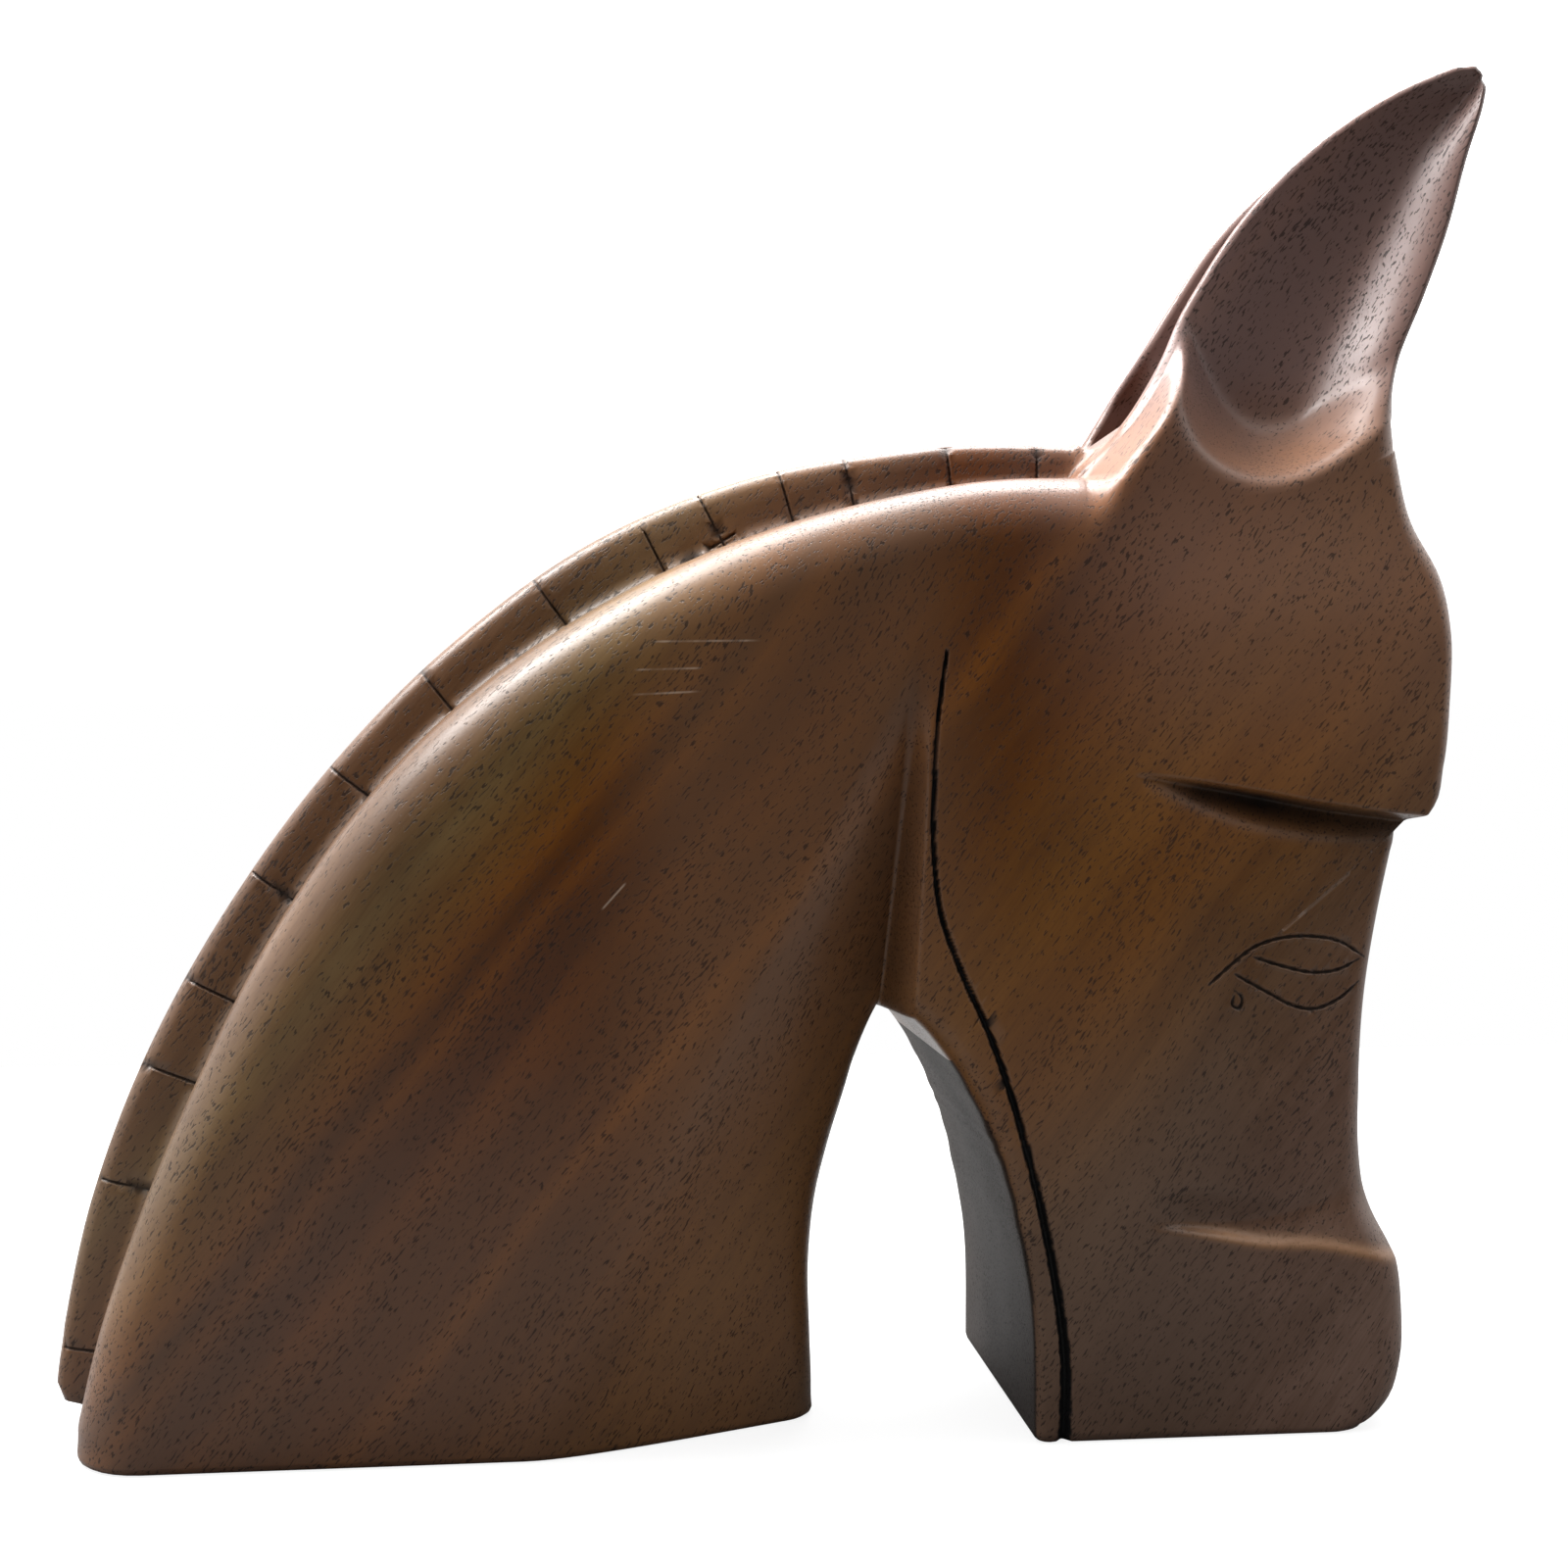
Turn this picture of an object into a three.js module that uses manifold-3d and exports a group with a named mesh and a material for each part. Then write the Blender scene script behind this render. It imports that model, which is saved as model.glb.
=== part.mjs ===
// A stylised horse head carved from one thick board of hardwood. It stands on the
// flat base of the neck and on the flat underside of the muzzle, with an arched gap
// between them. The front of the head points along +X and the block is the same on
// both sides of the plane Y = 0.

import * as THREE from 'three';
import Module from 'manifold-3d';
import { mergeVertices } from 'three/addons/utils/BufferGeometryUtils.js';

const wasm = await Module();
wasm.setup();

// Driving sizes, in millimetres
const HEIGHT = 243;
const BOARD_THICKNESS = 62;
const THROAT_THICKNESS = 27;
const SHOULDER_RADIUS = 12;
const MANE_THICKNESS = 17;
const FRONT_EDGE_RADIUS = 5;
const MUZZLE_EDGE_RADIUS = 7;
const THROAT_EDGE_RADIUS = 4;
const ARCH_EDGE_RADIUS = 2;
const CROWN = 1.4;
const POLL_TAPER = 2.5;
const BROW_TAPER = 1.5;
const EAR_SPREAD_REAR = 33;
const EAR_SPREAD_TIP = 38;
const EAR_REAR_TUCK = 7.6;
const EAR_CUP_DEPTH = 9;
const EAR_RIM_THICKNESS = 2.4;
const EAR_WALL_THICKNESS = 5;
const EAR_GAP_REAR = 29;
const EAR_GAP_FRONT = 48;
const BROW_DEPTH = 6.5;
const JAW_GROOVE_WIDTH = 1.6;
const JAW_GROOVE_DEPTH = 1.5;
const EYE_LINE_WIDTH = 0.8;
const EYE_LINE_DEPTH = 0.7;

// The form is drawn in hundredths of its own height: x forward, z up.
const percent = HEIGHT / 100;

// Each rib runs across the side of the block from its inner edge (throat, arch of the
// gap) to its outer edge (shoulder of the neck, forehead, nose). After the two ends
// comes the height of the mane that stands on the outer end. A mark names a rib where
// the form turns a corner or changes its kind.
const RIBS = [
  { inner: [1.1, 0], outer: [-50.1, 0], mane: 0 },
  { inner: [1.0, 1.4], outer: [-50.0, 1.8], mane: 0 },
  { inner: [1.0, 1.8], outer: [-50.0, 2.2], mane: 2.1 },
  { inner: [1.0, 2.6], outer: [-49.8, 3.3], mane: 2.8 },
  { inner: [0.9, 5.8], outer: [-48.9, 7.4], mane: 3.2 },
  { inner: [0.8, 11.1], outer: [-46.2, 15.8], mane: 4.1 },
  { inner: [1.3, 16.0], outer: [-42.4, 25.1], mane: 4.4 },
  { inner: [2.3, 20.0], outer: [-37.0, 35.8], mane: 3.9 },
  { inner: [3.4, 23.5], outer: [-30.7, 44.9], mane: 3.6 },
  { inner: [4.2, 26.1], outer: [-22.2, 53.3], mane: 3.8 },
  { inner: [5.0, 28.1], outer: [-12.3, 59.8], mane: 4.4 },
  { inner: [5.5, 29.2], outer: [-2.1, 64.3], mane: 4.2 },
  { inner: [5.8, 29.8], outer: [8.2, 67.1], mane: 3.5, mark: 'crease foot' },
  { inner: [7.4, 29.6], outer: [9.7, 67.4], mane: 3.4, mark: 'crease top' },
  { inner: [8.4, 28.6], outer: [15.6, 68.2], mane: 3.0 },
  { inner: [8.8, 28.1], outer: [20.2, 68.4], mane: 2.8, mark: 'rear of ear' },
  { inner: [10.0, 26.5], outer: [43.1, 70.4], mane: 0, mark: 'front of ear' },
  { inner: [10.7, 25.4], outer: [44.3, 65.3], mane: 0 },
  { inner: [11.2, 24.4], outer: [46.3, 61.3], mane: 0 },
  { inner: [11.7, 23.5], outer: [47.0, 57.2], mane: 0 },
  { inner: [12.2, 22.5], outer: [46.9, 52.3], mane: 0 },
  { inner: [12.6, 21.4], outer: [46.4, 47.5], mane: 0 },
  { inner: [13.0, 20.6], outer: [45.6, 44.8], mane: 0 },
  { inner: [13.1, 20.2], outer: [44.7, 43.9], mane: 0, mark: 'brow lip' },
  { inner: [13.3, 19.8], outer: [43.8, 43.5], mane: 0, mark: 'nose corner' },
  { inner: [13.5, 19.3], outer: [43.3, 41.5], mane: 0 },
  { inner: [13.8, 18.2], outer: [42.2, 37.0], mane: 0 },
  { inner: [14.2, 16.9], outer: [41.1, 30.9], mane: 0 },
  { inner: [14.5, 15.3], outer: [40.7, 24.7], mane: 0 },
  { inner: [14.9, 13.7], outer: [40.8, 19.3], mane: 0 },
  { inner: [15.2, 12.1], outer: [41.6, 15.2], mane: 0, mark: 'muzzle start' },
  { inner: [15.5, 10.3], outer: [42.9, 11.9], mane: 0 },
  { inner: [15.7, 8.2], outer: [43.3, 8.4], mane: 0 },
  { inner: [15.8, 4.9], outer: [43.2, 4.7], mane: 0 },
  { inner: [15.8, 2.5], outer: [42.4, 2.1], mane: 0 },
  { inner: [15.8, 0.8], outer: [40.8, 0.5], mane: 0 },
  { inner: [15.8, 0], outer: [38.9, 0], mane: 0 },
];

const markedRib = (mark) => RIBS.findIndex((rib) => rib.mark === mark);
const creaseFoot = markedRib('crease foot');
const creaseTop = markedRib('crease top');
const earRearRib = markedRib('rear of ear');
const earFrontRib = markedRib('front of ear');
const browLip = markedRib('brow lip');
const noseCorner = markedRib('nose corner');
const muzzleStart = markedRib('muzzle start');
const lastRib = RIBS.length - 1;

// How many stations are made between each rib and the next
const STEPS = [1, 1, 1, 1, 2, 3, 3, 3, 3, 3, 2, 2, 3, 2, 2, 12];

// The rear and front edges of the ear, from its root to its tip
const EAR_REAR_EDGE = [
  [20.2, 68.4], [23.5, 72.3], [27.0, 77.9], [29.8, 82.7],
  [34.2, 89.2], [40.2, 94.9], [47.6, 99.1], [50.5, 100],
];
const EAR_FRONT_EDGE = [
  [43.1, 70.4], [42.9, 73.0], [44.2, 77.6], [46.3, 82.4],
  [48.1, 87.0], [49.8, 92.8], [51.2, 96.9], [51.7, 99.2],
];
const EAR_ROWS = 14;
const EAR_ROOT_SAG = 3.4;
const EAR_VALLEY = 0.66;
const EAR_FRONT_RIM = 0.95;
const CUP_LEAD = -0.25;
const EAR_WALL_BULGE = 0.62;
const REAR_FACE_SHARE = 0.1;
const FRONT_ROUND_START = 0.904;
const COLUMN_CROWDING = 0.8;

// The lip of the cup of the ear hangs as a curve. It is lowest at one share across the
// ear, rises to both edges, and the cup reaches its depth some way above it.
const CUP_LIP_MIDDLE = 0.6;
const CUP_LIP_LOW = 0.03;
const CUP_LIP_RISE = 0.5;
const CUP_LIP_REACH = 0.2;

// The line on the side of the neck where its flat face starts to slope to the throat
const SLOPE_LINE_FOOT = [-19.8, 0];
const SLOPE_LINE_TOP = [8.4, 58.5];
const SLOPE_SOFTNESS = 0.25;

const halfBoard = BOARD_THICKNESS / 2;
const throatDrop = halfBoard - THROAT_THICKNESS / 2;

function smooth(from, to, value) {
  const share = Math.min(1, Math.max(0, (value - from) / (to - from)));
  return share * share * (3 - 2 * share);
}

function mix(a, b, share) {
  return a + (b - a) * share;
}

// The height at x of the straight line through two points
function lineHeight(line, x) {
  const [[x0, z0], [x1, z1]] = line;
  return z0 + (z1 - z0) * (x - x0) / (x1 - x0);
}

function distance(from, to) {
  return Math.hypot(to[0] - from[0], to[1] - from[1]);
}

function direction(from, to) {
  const length = distance(from, to);
  return [(to[0] - from[0]) / length, (to[1] - from[1]) / length];
}

// A Catmull-Rom value at position t in a row of numbers; it breaks at the corners.
function splineValue(values, t, corners) {
  const last = values.length - 1;
  const i = Math.min(Math.floor(t), last - 1);
  const share = t - i;
  const before = corners.includes(i) ? i : Math.max(i - 1, 0);
  const after = corners.includes(i + 1) ? i + 1 : Math.min(i + 2, last);
  const p1 = values[i];
  const p2 = values[i + 1];
  const slope1 = (p2 - values[before]) / 2;
  const slope2 = (values[after] - p1) / 2;
  const s2 = share * share;
  const s3 = s2 * share;
  return (2 * p1 - 2 * p2 + slope1 + slope2) * s3
    + (3 * p2 - 3 * p1 - 2 * slope1 - slope2) * s2
    + slope1 * share + p1;
}

// The direction of a curve at one of its points, in the stretch that begins at point i.
// It weighs the ways to both neighbours by their lengths, and is straight at a corner.
function tangentAt(points, at, i, corners) {
  if (at === 0 || at === points.length - 1 || corners.includes(at)) {
    return direction(points[i], points[i + 1]);
  }
  const back = direction(points[at - 1], points[at]);
  const ahead = direction(points[at], points[at + 1]);
  const backLength = distance(points[at - 1], points[at]);
  const aheadLength = distance(points[at], points[at + 1]);
  const share = backLength / (backLength + aheadLength);
  return [mix(back[0], ahead[0], share), mix(back[1], ahead[1], share)];
}

// The place at position t on a smooth curve through a row of points
function splinePoint(points, t, corners) {
  const i = Math.min(Math.floor(t), points.length - 2);
  const share = t - i;
  const [p1, p2] = [points[i], points[i + 1]];
  const length = distance(p1, p2);
  const leave = tangentAt(points, i, i, corners);
  const arrive = tangentAt(points, i + 1, i, corners);
  const risen = smooth(0, 1, share);
  const early = share * (1 - share) ** 2 * length;
  const late = share ** 2 * (share - 1) * length;
  const place = (axis) => mix(p1[axis], p2[axis], risen) + leave[axis] * early + arrive[axis] * late;
  return [place(0) * percent, place(1) * percent];
}

const innerPoints = RIBS.map((rib) => rib.inner);
const outerPoints = RIBS.map((rib) => rib.outer);
const maneHeights = RIBS.map((rib) => rib.mane);
const innerCorners = [creaseFoot, creaseTop];
const outerCorners = [earRearRib, earFrontRib, noseCorner];

// One value for each of the stretches of the outer edge, blended over one rib
function outerEdgeRadius(u) {
  const toFront = mix(SHOULDER_RADIUS, FRONT_EDGE_RADIUS, smooth(earRearRib, earFrontRib, u));
  const atBrow = Math.min(Math.abs(u - browLip) / 2, 1);
  const browSharp = mix(0.5, 1, atBrow);
  const toMuzzle = smooth(muzzleStart - 2, muzzleStart, u);
  return mix(toFront * browSharp, MUZZLE_EDGE_RADIUS, toMuzzle);
}

function innerEdgeRadius(u) {
  return mix(THROAT_EDGE_RADIUS, ARCH_EDGE_RADIUS, smooth(earRearRib, lastRib, u));
}

// The share of a rib, from its inner end, at which it crosses the slope line
function slopeLineShare(inner, outer) {
  const run = (SLOPE_LINE_TOP[0] - SLOPE_LINE_FOOT[0]) / (SLOPE_LINE_TOP[1] - SLOPE_LINE_FOOT[1]);
  const start = SLOPE_LINE_FOOT[0] * percent + run * inner[1] - inner[0];
  const rate = outer[0] - inner[0] - run * (outer[1] - inner[1]);
  return start / rate;
}

// How far the side of the neck is cut back at share v of station u
function neckSlopeDrop(u, v) {
  const station = Math.min(u, creaseFoot);
  const inner = splinePoint(innerPoints, station, innerCorners);
  const outer = splinePoint(outerPoints, station, outerCorners);
  const past = 1 - v / slopeLineShare(inner, outer);
  if (past <= 0) return 0;
  const eased = past * past / (past + SLOPE_SOFTNESS) * (1 + SLOPE_SOFTNESS);
  const jawWall = smooth(creaseFoot, creaseTop, u);
  return throatDrop * eased * (1 - jawWall);
}

// Where the poll and the forehead are planed in: from nothing to the full taper
const POLL_FORWARD = [12, 30];
const POLL_UPWARD = [56, 68];
const BROW_FORWARD = [35, 47];
const BROW_UPWARD = [12, 25];

function withinRange([from, to], value) {
  return smooth(from * percent, to * percent, value);
}

// Half of the thickness of the block at a point of its side, without the edge rounding
function halfThickness(u, v, x, z) {
  const poll = POLL_TAPER * withinRange(POLL_FORWARD, x) * withinRange(POLL_UPWARD, z);
  const brow = BROW_TAPER * withinRange(BROW_FORWARD, x) * withinRange(BROW_UPWARD, z);
  return halfBoard - poll - brow - neckSlopeDrop(u, v);
}

// Half of the thickness along the root of the ear, from its rear edge to its front edge
function earRootHalf(c, x, z) {
  const side = halfThickness(earRearRib, 1, x, z);
  const rear = EAR_SPREAD_REAR / 2;
  const risen = mix(rear, side, smooth(0, REAR_FACE_SHARE, c));
  const rounded = Math.max(0, (c - FRONT_ROUND_START) / (1 - FRONT_ROUND_START));
  return risen - FRONT_EDGE_RADIUS * (1 - Math.sqrt(Math.max(0, 1 - rounded ** 2)));
}

// One station: the points of the near side from the inner edge to the outer edge
const EDGE_TURNS = [0, 0.34, 0.67, 1];
const INTERIOR_ROWS = 11;

function stationPoints(u) {
  const inner = splinePoint(innerPoints, u, innerCorners);
  const outer = u > earRearRib && u < earFrontRib
    ? earPlanPoint(u - earRearRib, 0)
    : splinePoint(outerPoints, u, outerCorners);
  const length = distance(inner, outer);
  const innerRadius = innerEdgeRadius(u);
  const outerRadius = outerEdgeRadius(u);
  const rows = [];
  for (const turn of EDGE_TURNS) {
    const angle = turn * Math.PI / 2;
    rows.push({
      v: innerRadius * (1 - Math.cos(angle)) / length,
      inset: innerRadius * (1 - Math.sin(angle)),
    });
  }
  const first = innerRadius / length;
  const last = 1 - outerRadius / length;
  for (let row = 1; row <= INTERIOR_ROWS; row++) {
    rows.push({ v: mix(first, last, row / (INTERIOR_ROWS + 1)), inset: 0 });
  }
  for (const turn of [...EDGE_TURNS].reverse()) {
    const angle = turn * Math.PI / 2;
    rows.push({
      v: 1 - outerRadius * (1 - Math.cos(angle)) / length,
      rounding: 1 - Math.sin(angle),
      inset: 0,
    });
  }
  return rows.map((row) => {
    const x = mix(inner[0], outer[0], row.v);
    const z = mix(inner[1], outer[1], row.v);
    const side = halfThickness(u, row.v, x, z);
    let half = side - row.inset;
    if (row.rounding) {
      const edge = u > earRearRib && u < earFrontRib
        ? side - earRootHalf(u - earRearRib, x, z)
        : edgeDrop(u, side);
      half -= row.rounding * edge;
    }
    return [x, -half, z];
  });
}

// How far the side has turned inward at the outer edge of station u
function edgeDrop(u, side) {
  const rearOfEar = side - EAR_SPREAD_REAR / 2;
  if (u <= earRearRib) return mix(SHOULDER_RADIUS, rearOfEar, smooth(creaseTop, earRearRib, u));
  return outerEdgeRadius(u);
}

// The columns of points across the ear crowd toward its two edges, where it turns.
function columnShare(share) {
  return mix(share, (1 - Math.cos(Math.PI * share)) / 2, COLUMN_CROWDING);
}

// The place of a point of the ear in the plane of the board: c runs from the rear edge
// to the front edge and w from the root to the tip.
function earPlanPoint(c, w) {
  const t = w * (EAR_REAR_EDGE.length - 1);
  const rear = splinePoint(EAR_REAR_EDGE, t, []);
  const front = splinePoint(EAR_FRONT_EDGE, t, []);
  const sag = EAR_ROOT_SAG * percent * Math.sin(Math.PI * c) * (1 - w) ** 2;
  return [mix(rear[0], front[0], c), mix(rear[1], front[1], c) - sag];
}

// How deep the cup of the ear is at c, as a share of its full depth
function cupShape(c) {
  if (c >= EAR_VALLEY) return 1 - smooth(EAR_VALLEY, EAR_FRONT_RIM, c);
  const before = smooth(CUP_LEAD, 1, 0);
  return smooth(CUP_LEAD, 1, c / EAR_VALLEY) - before * (1 - c / EAR_VALLEY);
}

// The share of the height of the ear at which the cup begins, at c across it
function lipHeight(c) {
  return CUP_LIP_LOW + CUP_LIP_RISE * (c - CUP_LIP_MIDDLE) ** 2;
}

// How thick the ear is at c across it: it thins to its rim toward the tip.
function earWall(c, w) {
  const bulge = Math.sin(Math.PI * c * EAR_WALL_BULGE) * (1 - w ** 4);
  return mix(EAR_RIM_THICKNESS, EAR_WALL_THICKNESS, bulge);
}

// Distance of the outer face of the ear from the plane Y = 0. Its rear edge is tucked in
// toward the other ear at half height.
function earOuterHalf(c, w, x, z) {
  const side = halfThickness(earRearRib, 1, x, z);
  const tuck = EAR_REAR_TUCK * Math.sin(Math.PI * Math.min(w, 1)) ** 1.5;
  const rear = mix(EAR_SPREAD_REAR, EAR_SPREAD_TIP, w) / 2 - tuck;
  const rootFront = side - FRONT_EDGE_RADIUS;
  const front = mix(rootFront, EAR_SPREAD_TIP / 2, w);
  const lip = lipHeight(c);
  const open = smooth(lip, lip + CUP_LIP_REACH, w);
  const depth = EAR_CUP_DEPTH * Math.sqrt(Math.max(0, 1 - w));
  const cup = mix(rear, front, c) - depth * cupShape(c);
  return mix(earRootHalf(c, x, z), cup, open);
}

// Distance of the inner face of the ear from the plane Y = 0
function earInnerHalf(c, w, x, z) {
  const widest = mix(EAR_GAP_REAR, EAR_GAP_FRONT, c) / 2;
  return Math.min(earOuterHalf(c, w, x, z) - earWall(c, w), widest);
}

function earRows() {
  const columns = [];
  const earStations = STEPS[earRearRib];
  for (let i = 0; i <= earStations; i++) {
    const column = [];
    for (let row = 0; row <= EAR_ROWS; row++) {
      const c = columnShare(i / earStations);
      const w = row / EAR_ROWS;
      const [x, z] = earPlanPoint(c, w);
      column.push([x, -earOuterHalf(c, w, x, z), z]);
    }
    columns.push(column);
  }
  return columns;
}

const MANE_FOOT_SHARE = 0.6;

// Profile over the outer edge from the near side to the plane Y = 0: share of the mane
// height, share of the crown, and the distance from the plane Y = 0.
function edgeProfile(edgeHalf) {
  const foot = Math.min(MANE_THICKNESS / 2, edgeHalf * MANE_FOOT_SHARE);
  return [
    { rise: 0, half: edgeHalf },
    { rise: 0, half: mix(edgeHalf, foot, 0.55) },
    { rise: 0, half: foot * 1.07 },
    { rise: 0.4, half: foot },
    { rise: 0.78, half: foot * 0.93 },
    { rise: 0.95, half: foot * 0.75 },
    { rise: 1, half: foot * 0.42 },
    { rise: 1.02, half: 0 },
  ];
}

// The strip of points across the outer edge, from the near side to the far side
function edgeStrip(point, outward, maneHeight) {
  const edgeHalf = -point[1];
  const half = edgeProfile(edgeHalf).map((place) => {
    const crown = CROWN * (1 - (place.half / edgeHalf) ** 2);
    const offset = place.rise * maneHeight + crown;
    return [point[0] + outward[0] * offset, -place.half, point[2] + outward[1] * offset];
  });
  const far = half.slice(0, -1).reverse().map(([x, y, z]) => [x, -y, z]);
  return [...half, ...far];
}

function stationList() {
  const list = [];
  for (let rib = 0; rib < lastRib; rib++) {
    const steps = STEPS[rib] ?? 1;
    for (let step = 0; step < steps; step++) {
      const share = step / steps;
      list.push(rib + (rib === earRearRib ? columnShare(share) : share));
    }
  }
  list.push(lastRib);
  return list;
}

// Collects the triangles of a closed skin
class Skin {
  constructor() {
    this.positions = [];
  }

  triangle(a, b, c) {
    this.positions.push(...a, ...b, ...c);
  }

  grid(rows, flipped = false) {
    for (let i = 0; i + 1 < rows.length; i++) {
      for (let j = 0; j + 1 < rows[i].length; j++) {
        const corners = [rows[i][j], rows[i + 1][j], rows[i + 1][j + 1], rows[i][j + 1]];
        if (flipped) corners.reverse();
        this.triangle(corners[0], corners[1], corners[2]);
        this.triangle(corners[0], corners[2], corners[3]);
      }
    }
  }

  geometry() {
    const geometry = new THREE.BufferGeometry();
    geometry.setAttribute('position', new THREE.Float32BufferAttribute(this.positions, 3));
    return mergeVertices(geometry, 1e-3);
  }
}

function mirrored(point) {
  return [point[0], -point[1], point[2]];
}

// Which way the outer edge faces at station u: along its rib, and straight ahead where
// the front edge of the ear begins
const ROOT_REACH = 3;

function edgeHeading(u, end) {
  const along = direction(splinePoint(innerPoints, u, innerCorners), [end[0], end[2]]);
  if (u < earFrontRib) return along;
  const share = smooth(earFrontRib, earFrontRib + ROOT_REACH, u);
  return [mix(1, along[0], share), mix(0, along[1], share)];
}

function blockSkin() {
  const skin = new Skin();
  const stations = stationList();
  const sides = stations.map(stationPoints);
  const ear = earRows();
  const earStart = stations.indexOf(earRearRib);
  const earEnd = stations.indexOf(earFrontRib);
  for (let i = earStart; i <= earEnd; i++) {
    const column = sides[i];
    ear[i - earStart][0] = column[column.length - 1];
  }

  skin.grid(sides);
  skin.grid(sides.map((side) => side.map(mirrored)), true);
  skin.grid(ear);
  skin.grid(ear.map((column) => column.map(mirrored)), true);

  const innerEdge = sides.map((side) => [side[0], mirrored(side[0])]);
  skin.grid(innerEdge, true);

  const strips = [];
  stations.forEach((u, i) => {
    if (i > earStart && i < earEnd) return;
    const side = sides[i];
    const end = side[side.length - 1];
    const outward = edgeHeading(u, end);
    const mane = splineValue(maneHeights, u, [0, 1, 2, earRearRib]) * percent;
    if (i === earEnd) strips.push(...earEdgeStrips(ear));
    strips.push(edgeStrip(end, outward, mane));
  });
  skin.grid(strips);

  addFoot(skin, sides[0], strips[0], false);
  addFoot(skin, sides[sides.length - 1], strips[strips.length - 1], true);
  return skin.geometry();
}

// Strips up the rear edge of the ear, over its tip and down its front edge
const TIP_LEAN = [0.5, 0.87];
const MANE_END_ROWS = 2;

function earEdgeStrips(ear) {
  const rear = ear[0];
  const front = ear.at(-1);
  const rearMane = RIBS[earRearRib].mane * percent;
  const across = rear.map((point, row) => direction([point[0], point[2]], [front[row][0], front[row][2]]));
  const up = rear.map((point, row) => {
    const mane = rearMane * Math.max(0, 1 - row / MANE_END_ROWS);
    return edgeStrip(point, [-across[row][0] * TIP_LEAN[0], TIP_LEAN[1]], mane);
  });
  const over = ear.slice(1, -1).map((column) => edgeStrip(column.at(-1), TIP_LEAN, 0));
  const down = front.map((point, row) => edgeStrip(point, across[row], 0));
  return [...up.slice(1), ...over, ...down.slice(1).reverse()];
}

// The flat foot below an end station, with the crowned edge beyond its outer end
function addFoot(skin, side, strip, flipped) {
  skin.grid(side.map((point) => [point, mirrored(point)]), flipped);
  for (let k = 1; k + 1 < strip.length; k++) {
    if (flipped) skin.triangle(strip[0], strip[k + 1], strip[k]);
    else skin.triangle(strip[0], strip[k], strip[k + 1]);
  }
}

function toManifold(geometry) {
  return new wasm.Manifold(new wasm.Mesh({
    numProp: 3,
    vertProperties: new Float32Array(geometry.getAttribute('position').array),
    triVerts: new Uint32Array(geometry.getIndex().array),
  }));
}

function toGeometry(manifold) {
  const mesh = manifold.getMesh();
  const geometry = new THREE.BufferGeometry();
  geometry.setAttribute('position', new THREE.BufferAttribute(mesh.vertProperties, 3));
  geometry.setIndex(new THREE.BufferAttribute(mesh.triVerts, 1));
  geometry.computeVertexNormals();
  return geometry;
}

// A closed solid between a near grid of points and the same grid on its far side
function slabBetween(near, far) {
  const skin = new Skin();
  skin.grid(near);
  skin.grid(far, true);
  const last = near.length - 1;
  const end = near[0].length - 1;
  skin.grid([near[0], far[0]], true);
  skin.grid([near[last], far[last]]);
  skin.grid([near.map((row) => row[0]), far.map((row) => row[0])]);
  skin.grid([near.map((row) => row[end]), far.map((row) => row[end])], true);
  return toManifold(skin.geometry());
}

// The space between the ears, cut down to the poll
const GAP_FLOOR = 0.17;
const GAP_ROWS = 10;
const GAP_COLUMNS = 12;
const GAP_OVERRUN = 5;
const GAP_END_FALL = 0.5;

function earGap() {
  const near = [];
  for (let i = -1; i <= GAP_COLUMNS + 1; i++) {
    const c = columnShare(Math.min(1, Math.max(0, i / GAP_COLUMNS)));
    const beyond = GAP_OVERRUN * (i < 0 ? -1 : i > GAP_COLUMNS ? 1 : 0);
    const column = [];
    for (let row = 0; row <= GAP_ROWS + 1; row++) {
      const w = mix(GAP_FLOOR, 1, Math.min(row, GAP_ROWS) / GAP_ROWS);
      const above = row > GAP_ROWS ? GAP_OVERRUN : 0;
      const [x, z] = earPlanPoint(c, w);
      column.push([x + beyond, -earInnerHalf(c, w, x, z), z - beyond * GAP_END_FALL + above]);
    }
    near.push(column);
  }
  return slabBetween(near, near.map((column) => column.map(mirrored)));
}

// The sunken face between the brow and the muzzle. It deepens toward the front, starts
// under the sharp edge of the brow and rises again over a ramp to the muzzle.
const SUNKEN_START = 25;
const SUNKEN_FULL = 44;
const SUNKEN_EASE = 1.2;
const BROW_LINE = [[25, 46.9], [44, 44.1]];
const MUZZLE_LINE = [[27, 14.5], [42, 12]];
const UNDERCUT_DROP = 1.15;
const RAMP_RISE = 0.35;
const SUNKEN_COLUMNS = 14;
const FACE_LEVEL = 0.85;
const RAMP_LEAST = 0.4;
const CUT_LIFT = 0.5;

function sunkenDepth(x) {
  const share = (x - SUNKEN_START) / (SUNKEN_FULL - SUNKEN_START);
  return BROW_DEPTH * (share > 0 ? share ** SUNKEN_EASE : share);
}

// Distance of the side of the head from the plane Y = 0, before the face is sunken
function headHalf(x, z) {
  return halfThickness(earFrontRib, 1, x * percent, z * percent);
}

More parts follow.
